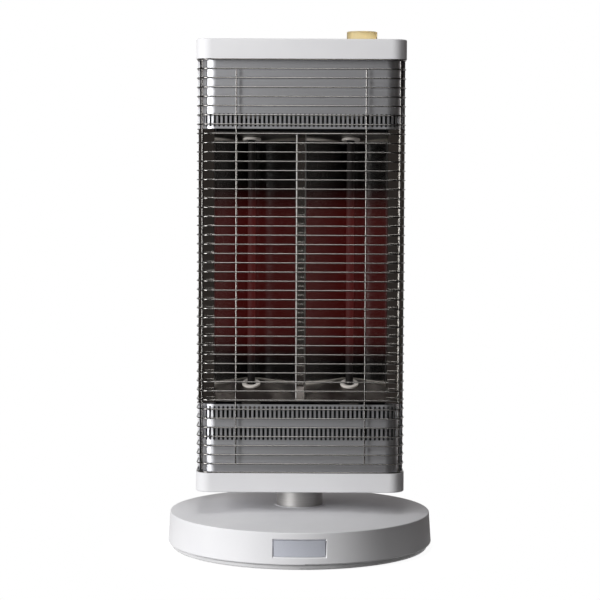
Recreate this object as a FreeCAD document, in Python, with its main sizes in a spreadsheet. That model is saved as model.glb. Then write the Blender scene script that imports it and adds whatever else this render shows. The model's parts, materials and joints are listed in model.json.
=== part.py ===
import FreeCAD, Part
import math
import os
from types import SimpleNamespace

import Sketcher
from FreeCAD import Placement, Rotation, Vector

# Upright far infrared room heater with two elements.
# Millimetres, +Z up, front towards -Y, origin on the floor under the middle of the round base.

DRIVING = {
    # Round base
    "base_diameter": 350.0,
    "rim_inset": 2.6,
    "rim_height": 49.5,
    "dome_height": 57.0,
    "dome_radius": 1100.0,
    "rim_rounding": 1.3,
    "cover_edge_rounding": 2.2,
    "base_wall": 3.0,
    "cover_gap": 0.9,
    "plate_inset": 5.0,
    "plate_thickness": 3.0,
    "plate_rim_height": 5.6,
    "plate_rim_width": 2.5,
    "plate_edge_rounding": 2.3,
    "foot_height": 2.0,
    "foot_diameter": 18.0,
    "foot_inset": 22.0,
    "boss_inset": 40.0,
    "boss_diameter": 10.0,
    "pilot_depth": 18.0,
    # Fasteners
    "screw_diameter": 3.5,
    "screw_head_diameter": 7.0,
    "screw_head_height": 1.2,
    "screw_length": 14.0,
    "screw_clearance": 0.1,
    # Foot switch in the front of the base
    "switch_opening_width": 68.7,
    "switch_opening_height": 24.3,
    "switch_sill_height": 17.3,
    "switch_reveal_width": 2.1,
    "button_setback": 1.4,
    "button_depth": 24.0,
    "button_clearance": 0.4,
    "button_flange_width": 3.0,
    "housing_wall": 3.0,
    "housing_inset": 11.0,
    "housing_lip_depth": 4.0,
    "spring_length": 9.0,
    "spring_diameter": 8.0,
    "spring_wire_diameter": 0.8,
    "spring_offset": 20.0,
    "plunger_pin_diameter": 6.0,
    "push_switch_width": 22.0,
    # Cord inlet at the back of the base
    "gland_height": 24.0,
    "gland_diameter": 18.0,
    "gland_bore_diameter": 8.0,
    "gland_length": 16.0,
    "gland_flange_diameter": 25.0,
    "gland_flange_thickness": 4.0,
    # Tip-over switch under the base
    "tip_switch_side_offset": 85.0,
    "tip_switch_back_offset": 25.0,
    "tip_switch_width": 24.0,
    "tip_switch_height": 27.0,
    "tip_plunger_diameter": 10.0,
    "tip_plunger_length": 20.0,
    "tip_stem_diameter": 8.0,
    "tip_travel_length": 4.2,
    "tip_plunger_gap": 0.2,
    "tip_spring_length": 9.0,
    # Swivel
    "pedestal_flange_diameter": 68.0,
    "pedestal_flange_thickness": 4.0,
    "pedestal_collar_diameter": 49.0,
    "pedestal_collar_height": 31.0,
    "pedestal_column_diameter": 44.0,
    "pedestal_column_height": 51.0,
    "spigot_diameter": 20.0,
    "spigot_length": 15.0,
    "cable_bore_diameter": 12.0,
    "running_clearance": 0.07,
    "bush_height": 16.0,
    "thrust_washer_thickness": 2.0,
    "retainer_washer_diameter": 36.0,
    "retainer_washer_thickness": 1.5,
    "retainer_nut_width": 30.0,
    "retainer_nut_height": 6.0,
    "post_diameter": 61.0,
    "post_wall": 3.0,
    "post_length": 52.0,
    "post_skirt_length": 2.0,
    "post_web_thickness": 4.0,
    "post_flange_diameter": 74.0,
    "post_flange_thickness": 4.0,
    "post_hole_gap": 0.7,
    "collar_width": 2.5,
    "collar_height": 0.8,
    "gear_module": 2.0,
    "gear_thickness": 6.0,
    "tooth_backlash": 0.5,
    "pinion_overhang": 0.5,
    "motor_diameter": 50.0,
    "motor_height": 22.0,
    "motor_screw_gap": 1.5,
    "motor_ear_width": 12.0,
    "motor_ear_thickness": 2.0,
    "motor_shaft_diameter": 8.0,
    "motor_bore_depth": 12.0,
    # Tilt hinge between the post and the head
    "tilt_axis_height": 9.0,
    "tilt_plate_thickness": 2.5,
    "tilt_ear_spacing": 48.0,
    "tilt_ear_thickness": 3.0,
    "tilt_ear_width": 14.0,
    "tilt_eye_diameter": 12.0,
    "tilt_washer_thickness": 1.4,
    "tilt_hinge_thickness": 2.5,
    "tilt_hinge_foot_length": 14.0,
    "tilt_gap": 0.1,
    "pin_diameter": 8.0,
    "pin_clearance": 0.06,
    "pin_head_diameter": 13.0,
    "pin_head_thickness": 3.0,
    # Head
    "head_width": 271.2,
    "head_depth": 150.0,
    "head_height": 585.2,
    "head_corner_radius": 19.5,
    "head_drop_depth": 10.7,
    "tray_height": 25.1,
    "cap_height": 25.4,
    "shell_wall": 3.0,
    "shell_edge_radius": 1.6,
    "neck_side_gap": 3.0,
    "neck_back_gap": 6.5,
    "chassis_thickness": 1.5,
    "chassis_inset": 5.4,
    "head_boss_side_inset": 27.6,
    "head_boss_front_inset": 25.0,
    "panel_side_inset": 7.6,
    "panel_front_inset": 7.5,
    "panel_corner_radius": 18.0,
    "panel_thickness": 0.8,
    "panel_side_length": 47.5,
    "lower_panel_height": 89.0,
    "upper_panel_height": 89.4,
    "slot_width": 2.9,
    "slot_length": 17.0,
    "slot_edge_gap": 2.4,
    "slot_row_gap": 10.4,
    "slot_row_shift_left": 1.3,
    "rear_cover_side_inset": 0.2,
    "rear_cover_back_inset": 1.0,
    "rear_cover_wall": 2.5,
    "rear_cover_lap_length": 2.0,
    "rear_vent_width": 4.0,
    "rear_vent_length": 46.0,
    "rear_vent_spacing": 10.0,
    "rear_vent_inset": 40.0,
    "standoff_diameter": 8.0,
    "standoff_side_inset": 11.75,
    "standoff_end_inset": 24.0,
    "back_plate_offset": 6.6,
    "back_plate_thickness": 1.0,
    # Reflectors, end plates and heaters
    "reflector_side_gap": 16.0,
    "reflector_front_gap": 9.55,
    "reflector_thickness": 1.2,
    "assembly_gap": 0.15,
    "end_plate_thickness": 1.0,
    "lower_end_gap": 4.2,
    "lower_end_height": 23.8,
    "upper_end_gap": 4.8,
    "upper_end_height": 9.6,
    "divider_width": 13.0,
    "divider_gap": 0.25,
    "divider_front_inset": 7.5,
    "divider_thickness": 0.6,
    "divider_depth": 31.0,
    "divider_lip_width": 1.4,
    "divider_lip_drop": 0.3,
    "shield_side_inset": 2.9,
    "shield_front_inset": 14.0,
    "shield_bend_width": 3.7,
    "shield_thickness": 0.8,
    "shield_flange_width": 1.6,
    "shield_flange_thickness": 1.2,
    "heater_offset": 5.225,
    "heater_diameter": 10.0,
    "heater_end_length": 36.0,
    "heater_stud_diameter": 5.0,
    "heater_stud_length": 14.0,
    "ring_diameter": 24.0,
    "ring_bore_diameter": 13.4,
    "ring_thickness": 3.5,
    "holder_width": 24.0,
    "holder_height": 8.0,
    "lower_holder_gap": 1.0,
    # Wire guard
    "wire_diameter": 1.8,
    "guard_side_inset": 1.3,
    "guard_front_inset": 1.0,
    "guard_corner_radius": 20.0,
    "guard_first_gap": 12.8,
    "guard_last_gap": 12.0,
    "guard_upright_spacing": 167.0,
    "weld_gap": 0.05,
    # Heat dial and controls
    "dial_side_inset": 56.3,
    "dial_diameter": 40.0,
    "dial_height": 13.4,
    "dial_gap": 0.6,
    "dial_edge_radius": 1.2,
    "dial_shaft_diameter": 6.0,
    "dial_hole_diameter": 10.0,
    "pot_diameter": 18.0,
    "pot_height": 10.0,
    "pot_floor_thickness": 2.0,
    "board_length": 96.0,
    "board_width": 64.0,
    "board_thickness": 1.6,
    "board_side_offset": 32.0,
    "board_standoff_height": 5.0,
    "relay_width": 16.0,
    "relay_spacing": 24.0,
    "cutout_diameter": 16.0,
    "cutout_thickness": 6.0,
    "cutout_top_inset": 110.0,
    "terminal_block_length": 44.0,
    "terminal_block_width": 20.0,
    "terminal_block_height": 14.0,
    "terminal_block_inset": 63.0,
}

# How many of each repeated piece there are
FOOT_COUNT = 6
BASE_SCREW_COUNT = 6
PEDESTAL_SCREW_COUNT = 4
NUT_SIDES = 6
GUARD_BAR_COUNT = 44
FRONT_SLOT_COUNT = 39
CORNER_SLOT_COUNT = 3
REAR_VENT_COUNT = 17
SWIVEL_GEAR_TEETH = 48
PINION_TEETH = 14
CURVE_STEPS = 16

# Where the guard's corner uprights stand on the bend, in degrees from the front
CORNER_UPRIGHT_ANGLE = 46.0

# Gear tooth form: depths as shares of the module, and the flank angle in degrees
TOOTH_ROOT_DEPTH = 1.2
TOOTH_TIP_HEIGHT = 0.85
TOOTH_FLANK_ANGLE = 20.0

doc = FreeCAD.newDocument("far_infrared_heater")
sheet = doc.addObject("Spreadsheet::Sheet", "Dims")
nodes = []


def number_of(item):
    return item.number if isinstance(item, Size) else float(item)


def text_of(item):
    return item.text if isinstance(item, Size) else repr(float(item))


class Size:
    """A length together with the sheet expression that gives it, so that the two stay in step."""

    def __init__(self, number, text):
        self.number = number
        self.text = text

    def __add__(self, other):
        return Size(self.number + number_of(other), f"({self.text} + {text_of(other)})")

    def __radd__(self, other):
        return Size(number_of(other) + self.number, f"({text_of(other)} + {self.text})")

    def __sub__(self, other):
        return Size(self.number - number_of(other), f"({self.text} - {text_of(other)})")

    def __rsub__(self, other):
        return Size(number_of(other) - self.number, f"({text_of(other)} - {self.text})")

    def __mul__(self, other):
        return Size(self.number * number_of(other), f"({self.text} * {text_of(other)})")

    def __rmul__(self, other):
        return Size(number_of(other) * self.number, f"({text_of(other)} * {self.text})")

    def __truediv__(self, other):
        return Size(self.number / number_of(other), f"({self.text} / {text_of(other)})")

    def __neg__(self):
        return Size(-self.number, f"(-{self.text})")


def fill_sheet():
    """Write every driving dimension in the sheet under its alias."""
    sizes = {}
    for row, (name, number) in enumerate(DRIVING.items(), start=1):
        sheet.set(f"A{row}", name)
        sheet.set(f"B{row}", str(number))
        sheet.setAlias(f"B{row}", name)
        sizes[name] = Size(number, f"Dims.{name}")
    doc.recompute()
    return SimpleNamespace(**sizes)


# Building blocks


def bind(thing, prop, item):
    thing.setExpression(prop, text_of(item))


def keep(thing, label):
    """Name a finished piece and put it on the list of pieces to write."""
    thing.Label = label
    nodes.append(thing)
    return thing


def new_body(label):
    body = doc.addObject("PartDesign::Body", label)
    body.Label = label
    return body


def sketch_on(body, role, offset=0.0):
    """A sketch on one of the body's own origin planes, moved along that plane's normal."""
    sketch = body.newObject("Sketcher::SketchObject", body.Name + "_outline")
    plane = next(feature for feature in body.Origin.OriginFeatures if feature.Role == role)
    sketch.AttachmentSupport = [(plane, "")]
    sketch.MapMode = "FlatFace"
    bind(sketch, "AttachmentOffset.Base.z", offset)
    return sketch


def arc_geometry(start, end, radius, turn):
    """The arc from start to end that turns left (1) or right (-1), drawn anticlockwise."""
    chord = end - start
    reach = math.sqrt(max(radius ** 2 - (chord.Length / 2) ** 2, 0.0))
    left = Vector(-chord.y, chord.x, 0).normalize()
    centre = (start + end) / 2 + left * reach * turn
    first, last = (start, end) if turn > 0 else (end, start)
    circle = Part.Circle(centre, Vector(0, 0, 1), radius)
    angles = [math.atan2(point.y - centre.y, point.x - centre.x) for point in (first, last)]
    return Part.ArcOfCircle(circle, angles[0], angles[1])


def outline(sketch, corners, arcs=None):
    """Close a loop through corners whose coordinates are bound to the sheet.

    arcs gives, for the edge that leaves a corner, its radius and its turn: 1 left, -1 right.
    """
    arcs = arcs or {}
    count = len(corners)
    points = [Vector(number_of(x), number_of(y), 0) for x, y in corners]
    edges = []
    for index in range(count):
        start, end = points[index], points[(index + 1) % count]
        if index in arcs:
            radius, turn = arcs[index]
            edge = sketch.addGeometry(arc_geometry(start, end, number_of(radius), turn))
            edges.append((edge, 1, 2) if turn > 0 else (edge, 2, 1))
        else:
            edges.append((sketch.addGeometry(Part.LineSegment(start, end)), 1, 2))
    for index in range(count):
        edge, _, tail = edges[index]
        following, head, _ = edges[(index + 1) % count]
        sketch.addConstraint(Sketcher.Constraint("Coincident", edge, tail, following, head))
    for index, (x, y) in enumerate(corners):
        edge, head, _ = edges[index]
        for kind, item in (("DistanceX", x), ("DistanceY", y)):
            rule = Sketcher.Constraint(kind, -1, 1, edge, head, number_of(item))
            bind(sketch, f"Constraints[{sketch.addConstraint(rule)}]", item)
    for index, (radius, _) in arcs.items():
        rule = Sketcher.Constraint("Radius", edges[index][0], number_of(radius))
        bind(sketch, f"Constraints[{sketch.addConstraint(rule)}]", radius)


def rectangle(sketch, x0, x1, y0, y1):
    outline(sketch, [(x0, y0), (x1, y0), (x1, y1), (x0, y1)])


def rounded_rectangle(sketch, x0, x1, y0, y1, radius):
    corners = [
        (x0 + radius, y0), (x1 - radius, y0), (x1, y0 + radius), (x1, y1 - radius),
        (x1 - radius, y1), (x0 + radius, y1), (x0, y1 - radius), (x0, y0 + radius),
    ]
    outline(sketch, corners, {index: (radius, 1) for index in (1, 3, 5, 7)})


def u_section(sketch, half, face, ends, radius, sheet_thickness):
    """A bent sheet seen from above: a flat face, two round corners and two sides back to the ends."""
    turn = 1 if number_of(face) < number_of(ends) else -1
    inner = sheet_thickness * turn
    bend = radius * turn
    corners = [
        (-half, ends), (-half, face + bend), (-half + radius, face), (half - radius, face),
        (half, face + bend), (half, ends), (half - sheet_thickness, ends),
        (half - sheet_thickness, face + bend), (half - radius, face + inner),
        (-half + radius, face + inner), (-half + sheet_thickness, face + bend),
        (-half + sheet_thickness, ends),
    ]
    inside = radius - sheet_thickness
    outline(sketch, corners, {1: (radius, turn), 3: (radius, turn), 7: (inside, -turn), 9: (inside, -turn)})


def circles(sketch, centres, radius):
    for x, y in centres:
        middle = Vector(number_of(x), number_of(y), 0)
        edge = sketch.addGeometry(Part.Circle(middle, Vector(0, 0, 1), number_of(radius)))
        for kind, item in (("DistanceX", x), ("DistanceY", y)):
            rule = Sketcher.Constraint(kind, -1, 1, edge, 3, number_of(item))
            bind(sketch, f"Constraints[{sketch.addConstraint(rule)}]", item)
        rule = Sketcher.Constraint("Radius", edge, number_of(radius))
        bind(sketch, f"Constraints[{sketch.addConstraint(rule)}]", radius)


def pad(body, sketch, length):
    feature = body.newObject("PartDesign::Pad", body.Name + "_pad")
    feature.Profile = sketch
    bind(feature, "Length", length)
    return feature


def pocket(body, sketch, length, along_normal):
    """Cut from the sketch plane, along its normal or against it."""
    feature = body.newObject("PartDesign::Pocket", body.Name + "_pocket")
    feature.Profile = sketch
    feature.Reversed = along_normal
    bind(feature, "Length", length)
    return feature


def turned(body, kind, corners, arcs):
    """Turn a half section, drawn as radius and height, about the vertical axis."""
    sketch = sketch_on(body, "XZ_Plane")
    outline(sketch, corners, arcs)
    feature = body.newObject("PartDesign::" + kind, body.Name + "_turned")
    feature.Profile = sketch
    feature.ReferenceAxis = (sketch, ["V_Axis"])
    feature.Angle = 360.0
    return feature


def revolve(body, corners, arcs=None):
    return turned(body, "Revolution", corners, arcs)


def groove(body, corners, arcs=None):
    return turned(body, "Groove", corners, arcs)


def round_level_edges(body, height, radius):
    """Round the edges of the body that lie level at a height."""
    doc.recompute()
    base = body.Tip
    near = 1e-4
    names = []
    for index, edge in enumerate(base.Shape.Edges, start=1):
        limits = edge.BoundBox
        if abs(limits.ZMin - number_of(height)) < near and abs(limits.ZMax - number_of(height)) < near:
            names.append(f"Edge{index}")
    rounding = body.newObject("PartDesign::Fillet", body.Name + "_rounding")
    rounding.Base = (base, names)
    bind(rounding, "Radius", radius)
    return rounding


def plate(body, bottom, thickness, draw):
    """Pad upwards from a height; draw puts the outline in the sketch."""
    sketch = sketch_on(body, "XY_Plane", bottom)
    draw(sketch)
    return pad(body, sketch, thickness)


def hollow(body, bottom, depth, draw):
    """Pocket upwards from a height; draw puts the outline in the sketch."""
    sketch = sketch_on(body, "XY_Plane", bottom)
    draw(sketch)
    return pocket(body, sketch, depth, True)


def place(thing, x, y, z, rotation=None):
    thing.Placement = Placement(Vector(0, 0, 0), rotation or Rotation())
    bind(thing, "Placement.Base.x", x)
    bind(thing, "Placement.Base.y", y)
    bind(thing, "Placement.Base.z", z)
    return thing


def box(x0, x1, y0, y1, z0, z1):
    thing = doc.addObject("Part::Box", "block")
    bind(thing, "Length", x1 - x0)
    bind(thing, "Width", y1 - y0)
    bind(thing, "Height", z1 - z0)
    return place(thing, x0, y0, z0)


ALONG_X = Rotation(Vector(0, 1, 0), 90)
ALONG_Y = Rotation(Vector(1, 0, 0), -90)


def cylinder(diameter, length, x, y, z, rotation=None):
    """A round bar that starts at a point and runs up, or along +X or +Y."""
    thing = doc.addObject("Part::Cylinder", "bar")
    bind(thing, "Radius", diameter / 2)
    bind(thing, "Height", length)
    return place(thing, x, y, z, rotation)


def cut(base, tool):
    thing = doc.addObject("Part::Cut", "cut")
    thing.Base = base
    thing.Tool = tool
    return thing


def common(pieces):
    thing = doc.addObject("Part::MultiCommon", "shared")
    thing.Shapes = pieces
    return thing


def fuse(pieces):
    thing = doc.addObject("Part::MultiFuse", "joined")
    thing.Shapes = pieces
    return thing


def group(pieces):
    thing = doc.addObject("Part::Compound", "group")
    thing.Links = pieces
    return thing


def feature(shape, name="feature"):
    thing = doc.addObject("Part::Feature", name)
    thing.Shape = shape
    return thing


def tube(outer_diameter, inner_diameter, length, x, y, z, rotation=None):
    outer = cylinder(outer_diameter, length, x, y, z, rotation)
    inner = cylinder(inner_diameter, length, x, y, z, rotation)
    return cut(outer, inner)


def ring_places(radius, count, first_angle=0.0):
    """Points round a circle about the origin."""
    angles = [math.radians(first_angle + 360.0 * index / count) for index in range(count)]
    return [(radius * math.cos(angle), radius * math.sin(angle)) for angle in angles]


def four_corners(x, y):
    return [(side * x, end * y) for side in (-1, 1) for end in (-1, 1)]


def screw_shape(direction):
    """One screw whose head seats at the origin and whose shank points along direction."""
    shank = Part.makeCylinder(
        dim.screw_diameter.number / 2, dim.screw_length.number, Vector(0, 0, 0), direction)
    head = Part.makeCylinder(
        dim.screw_head_diameter.number / 2, dim.screw_head_height.number, Vector(0, 0, 0), -direction)
    return head.fuse(shank).removeSplitter()


def screws(label, places, direction):
    """A group of like screws at the given seats."""
    one = screw_shape(direction)
    copies = [one.translated(Vector(*[number_of(item) for item in spot])) for spot in places]
    return keep(feature(Part.makeCompound(copies)), label)


dim = fill_sheet()

# Heights and places that several pieces share

cover_radius = dim.base_diameter / 2
rim_radius = cover_radius - dim.rim_inset
plate_radius = cover_radius - dim.plate_inset
plate_bottom = dim.foot_height
plate_top = plate_bottom + dim.plate_thickness
plate_rim_top = plate_bottom + dim.plate_rim_height
cover_bottom = plate_rim_top + dim.cover_gap
pilot_diameter = dim.screw_diameter + 2 * dim.screw_clearance
boss_places = ring_places(cover_radius - dim.boss_inset, BASE_SCREW_COUNT)

switch_sill = dim.switch_sill_height
switch_lintel = switch_sill + dim.switch_opening_height
button_half = dim.switch_opening_width / 2 - dim.switch_reveal_width
button_bottom = switch_sill + dim.switch_reveal_width
button_top = switch_lintel - dim.switch_reveal_width
button_middle = (switch_sill + switch_lintel) / 2
button_front = cover_radius - dim.button_setback
button_back = button_front - dim.button_depth
housing_front = cover_radius - dim.housing_inset
housing_back = button_back - dim.spring_length - dim.housing_wall
tip_switch_x = -dim.tip_switch_side_offset
tip_switch_y = dim.tip_switch_back_offset
tip_plunger_top = dim.tip_plunger_gap + dim.tip_plunger_length

pedestal_collar_top = plate_top + dim.pedestal_collar_height
pedestal_column_top = plate_top + dim.pedestal_column_height
spigot_top = pedestal_column_top + dim.spigot_length
post_radius = dim.post_diameter / 2
post_hole_radius = post_radius + dim.post_hole_gap
post_bottom = pedestal_collar_top - dim.post_skirt_length
post_top = post_bottom + dim.post_length
post_web_bottom = pedestal_column_top + dim.thrust_washer_thickness
post_web_top = post_web_bottom + dim.post_web_thickness
pinion_distance = dim.gear_module * (SWIVEL_GEAR_TEETH + PINION_TEETH) / 2
gear_bottom = post_bottom + dim.post_flange_thickness
motor_top = plate_top + dim.motor_height
motor_screw_reach = (dim.motor_diameter + dim.screw_head_diameter) / 2 + dim.motor_screw_gap
tilt_height = post_top + dim.tilt_axis_height

head_half = dim.head_width / 2
head_half_depth = dim.head_depth / 2
head_bottom = tilt_height - dim.head_drop_depth
head_top = head_bottom + dim.head_height
tray_top = head_bottom + dim.tray_height
cap_bottom = head_top - dim.cap_height
head_boss_x = head_half - dim.head_boss_side_inset
head_boss_y = head_half_depth - dim.head_boss_front_inset
lower_chassis_bottom = tray_top - dim.chassis_inset
lower_chassis_top = lower_chassis_bottom + dim.chassis_thickness
upper_chassis_top = cap_bottom + dim.chassis_inset
upper_chassis_bottom = upper_chassis_top - dim.chassis_thickness
chassis_back = head_half_depth - dim.shell_wall - dim.rear_cover_wall

panel_half = head_half - dim.panel_side_inset
panel_front = head_half_depth - dim.panel_front_inset
panel_side_end = panel_front - dim.panel_side_length
panel_flat_half = panel_half - dim.panel_corner_radius
lower_panel_top = tray_top + dim.lower_panel_height
upper_panel_bottom = cap_bottom - dim.upper_panel_height
slot_spacing = 2 * panel_flat_half / (FRONT_SLOT_COUNT - 1)
rear_cover_half = head_half - dim.rear_cover_side_inset
rear_cover_back = head_half_depth - dim.rear_cover_back_inset
rear_cover_front = panel_side_end + dim.rear_cover_lap_length

reflector_rim_x = panel_half - dim.reflector_side_gap
reflector_inner_x = dim.divider_width / 2 + dim.divider_gap
heater_x = (reflector_inner_x + reflector_rim_x) / 2 + dim.heater_offset
inner_span = heater_x - reflector_inner_x
outer_span = reflector_rim_x - heater_x
reflector_vertex = dim.back_plate_offset + dim.assembly_gap + dim.reflector_thickness
reflector_front = panel_front - dim.reflector_front_gap
reflector_focal = inner_span * inner_span / (4 * (reflector_front - reflector_vertex))
reflector_outer_front = reflector_vertex + outer_span * outer_span / (4 * reflector_focal)
heater_y = -(reflector_vertex + reflector_focal)
end_plate_front = panel_front - dim.panel_thickness - dim.assembly_gap
end_plate_back = dim.back_plate_offset + dim.assembly_gap
lower_end_front = lower_panel_top + dim.lower_end_gap
lower_end_back = lower_end_front + dim.lower_end_height
upper_end_front = upper_panel_bottom - dim.upper_end_gap
upper_end_back = upper_end_front - dim.upper_end_height
standoff_x = reflector_rim_x - dim.standoff_side_inset

guard_half = head_half - dim.guard_side_inset
guard_front = head_half_depth - dim.guard_front_inset
guard_first_bar = cap_bottom - dim.guard_first_gap
guard_last_bar = tray_top + dim.guard_last_gap
dial_x = head_half - dim.dial_side_inset
dial_bottom = head_top + dim.dial_gap
board_x = -dim.board_side_offset
board_bottom = upper_chassis_top + dim.board_standoff_height


# Base


def chamfer_window(body, half, sill, lintel):
    """Cut back the outer edges of the base cover's window, as wide as the reveal round the button."""
    doc.recompute()
    base = body.Tip
    near = 1e-4
    names = []
    for index, edge in enumerate(base.Shape.Edges, start=1):
        ends = [vertex.Point for vertex in edge.Vertexes]
        in_front = all(point.y < 0 for point in ends)
        on_wall = all(math.hypot(point.x, point.y) > rim_radius.number - near for point in ends)
        in_width = all(abs(point.x) < half.number + near for point in ends)
        in_height = all(sill.number - near < point.z < lintel.number + near for point in ends)
        if in_front and on_wall and in_width and in_height:
            names.append(f"Edge{index}")
    chamfer = body.newObject("PartDesign::Chamfer", body.Name + "_chamfer")
    chamfer.Base = (base, names)
    bind(chamfer, "Size", dim.switch_reveal_width - dim.button_clearance)


def base_cover():
    """Round domed shell with a hole for the post, a window for the foot button and screw bosses."""
    body = new_body("base_cover")
    wall = dim.base_wall
    round_edge = dim.rim_rounding
    lower_edge = dim.cover_edge_rounding
    hole = post_hole_radius
    lip = hole + dim.collar_width
    corners = [
        (cover_radius - lower_edge, cover_bottom),
        (cover_radius, cover_bottom + lower_edge),
        (rim_radius, dim.rim_height - round_edge),
        (rim_radius - round_edge, dim.rim_height),
        (lip, dim.dome_height),
        (lip, dim.dome_height + dim.collar_height),
        (hole, dim.dome_height + dim.collar_height),
        (hole, dim.dome_height - wall),
        (rim_radius - round_edge, dim.rim_height - wall),
        (rim_radius - wall, dim.rim_height - round_edge - wall),
        (cover_radius - wall, cover_bottom),
    ]
    revolve(body, corners, {
        0: (lower_edge, 1), 2: (round_edge, 1), 3: (dim.dome_radius, 1), 7: (dim.dome_radius, -1),
    })
    crest = dim.dome_height + dim.collar_height
    plate(body, plate_top, crest - plate_top,
          lambda sketch: circles(sketch, boss_places, dim.boss_diameter / 2))
    groove(body, [
        (lip, dim.dome_height), (rim_radius - round_edge, dim.rim_height),
        (rim_radius - round_edge, crest), (lip, crest),
    ], {0: (dim.dome_radius, -1)})
    hollow(body, plate_top, dim.pilot_depth, lambda sketch: circles(sketch, boss_places, pilot_diameter / 2))
    window = sketch_on(body, "XZ_Plane", button_back)
    half = button_half + dim.button_clearance
    sill = button_bottom - dim.button_clearance
    lintel = button_top + dim.button_clearance
    rectangle(window, -half, half, sill, lintel)
    pocket(body, window, dim.button_depth + dim.button_setback, True)
    chamfer_window(body, half, sill, lintel)
    inlet = sketch_on(body, "XZ_Plane", -cover_radius)
    circles(inlet, [(0.0, dim.gland_height)], dim.gland_diameter / 2 + dim.assembly_gap)
    pocket(body, inlet, dim.gland_length, True)
    keep(body, "base_cover")


def base_plate():
    """Steel disc with an upturned rim, screw holes and a hole for the tip-over plunger."""
    body = new_body("base_plate")
    inside = plate_radius - dim.plate_rim_width
    edge = dim.plate_edge_rounding
    revolve(body, [
        (0.0, plate_bottom), (plate_radius - edge, plate_bottom), (plate_radius, plate_bottom + edge),
        (plate_radius, plate_rim_top), (inside, plate_rim_top), (inside, plate_top), (0.0, plate_top),
    ], {1: (edge, 1)})
    thickness = dim.plate_thickness
    hollow(body, plate_bottom, thickness, lambda sketch: circles(sketch, boss_places, pilot_diameter / 2))
    spot = [(tip_switch_x, tip_switch_y)]
    gap = 2 * dim.assembly_gap
    hollow(body, plate_bottom, thickness,
           lambda sketch: circles(sketch, spot, dim.tip_stem_diameter / 2 + gap))
    hollow(body, plate_bottom, thickness,
           lambda sketch: circles(sketch, motor_screw_places() + pedestal_screw_places(), pilot_diameter / 2))
    keep(body, "base_plate")


def motor_screw_places():
    return [(pinion_distance, -motor_screw_reach), (pinion_distance, motor_screw_reach)]


def pedestal_screw_places():
    middle_radius = (dim.pedestal_flange_diameter + dim.pedestal_collar_diameter) / 4
    return ring_places(middle_radius, PEDESTAL_SCREW_COUNT, 180.0 / PEDESTAL_SCREW_COUNT)


def rubber_feet():
    places = ring_places(plate_radius - dim.foot_inset, FOOT_COUNT, 180.0 / FOOT_COUNT)
    pieces = [cylinder(dim.foot_diameter, dim.foot_height, x, y, 0.0) for x, y in places]
    keep(group(pieces), "rubber_feet")


def base_screws():
    screws("base_screws", [(x, y, plate_bottom) for x, y in boss_places], Vector(0, 0, 1))


def cord_gland():
    """Inlet bush in the back wall with a bore for a mains cord and a flange inside the wall."""
    outer_end = cover_radius - dim.assembly_gap
    start = outer_end - dim.gland_length
    sleeve = cylinder(dim.gland_diameter, dim.gland_length, 0.0, start, dim.gland_height, ALONG_Y)
    flange = cylinder(
        dim.gland_flange_diameter, dim.gland_flange_thickness, 0.0,
        start, dim.gland_height, ALONG_Y)
    bore = cylinder(dim.gland_bore_diameter, dim.gland_length, 0.0, start, dim.gland_height, ALONG_Y)
    keep(cut(fuse([sleeve, flange]), bore), "cord_gland")


def swivel_pedestal():
    """Fixed column that the post turns on, with a spigot on top and a bore for wires."""
    body = new_body("swivel_pedestal")
    bore = dim.cable_bore_diameter / 2
    flange_top = plate_top + dim.pedestal_flange_thickness
    revolve(body, [
        (bore, plate_top), (dim.pedestal_flange_diameter / 2, plate_top),
        (dim.pedestal_flange_diameter / 2, flange_top), (dim.pedestal_collar_diameter / 2, flange_top),
        (dim.pedestal_collar_diameter / 2, pedestal_collar_top),
        (dim.pedestal_column_diameter / 2, pedestal_collar_top),
        (dim.pedestal_column_diameter / 2, pedestal_column_top),
        (dim.spigot_diameter / 2, pedestal_column_top),
        (dim.spigot_diameter / 2, spigot_top), (bore, spigot_top),
    ])
    hollow(body, plate_top, dim.pedestal_flange_thickness,
           lambda sketch: circles(sketch, pedestal_screw_places(), pilot_diameter / 2))
    keep(body, "swivel_pedestal")
    plate_screws("pedestal_screws", pedestal_screw_places(), flange_top)


def plate_screws(label, places, seat):
    """Screws that hold something down on the base plate, with their heads at the seat height."""
    pieces = []
    for x, y in places:
        head = cylinder(dim.screw_head_diameter, dim.screw_head_height, x, y, seat)
        shank = cylinder(dim.screw_diameter, seat - plate_bottom, x, y, plate_bottom)
        pieces.append(fuse([head, shank]))
    keep(group(pieces), label)


def swivel_bearings():
    """Bush round the column, thrust washer under the post's web, and what holds the post down."""
    inner = dim.pedestal_column_diameter + 2 * dim.running_clearance
    outer = dim.post_diameter - 2 * dim.post_wall - 2 * dim.running_clearance
    keep(tube(outer, inner, dim.bush_height, 0.0, 0.0, pedestal_collar_top), "swivel_bush")
    around = dim.spigot_diameter + 2 * dim.running_clearance
    keep(tube(dim.pedestal_column_diameter, around, dim.thrust_washer_thickness,
              0.0, 0.0, pedestal_column_top), "thrust_washer")
    washer_bottom = post_web_top + dim.running_clearance
    keep(tube(dim.retainer_washer_diameter, around, dim.retainer_washer_thickness,
              0.0, 0.0, washer_bottom), "retainer_washer")
    nut = doc.addObject("Part::Prism", "hexagon")
    nut.Polygon = NUT_SIDES
    bind(nut, "Circumradius", dim.retainer_nut_width / 2 / math.cos(math.pi / NUT_SIDES))
    bind(nut, "Height", dim.retainer_nut_height)
    nut_bottom = washer_bottom + dim.retainer_washer_thickness
    place(nut, 0.0, 0.0, nut_bottom)
    hole = cylinder(around, dim.retainer_nut_height, 0.0, 0.0, nut_bottom)
    keep(cut(nut, hole), "retainer_nut")


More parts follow.
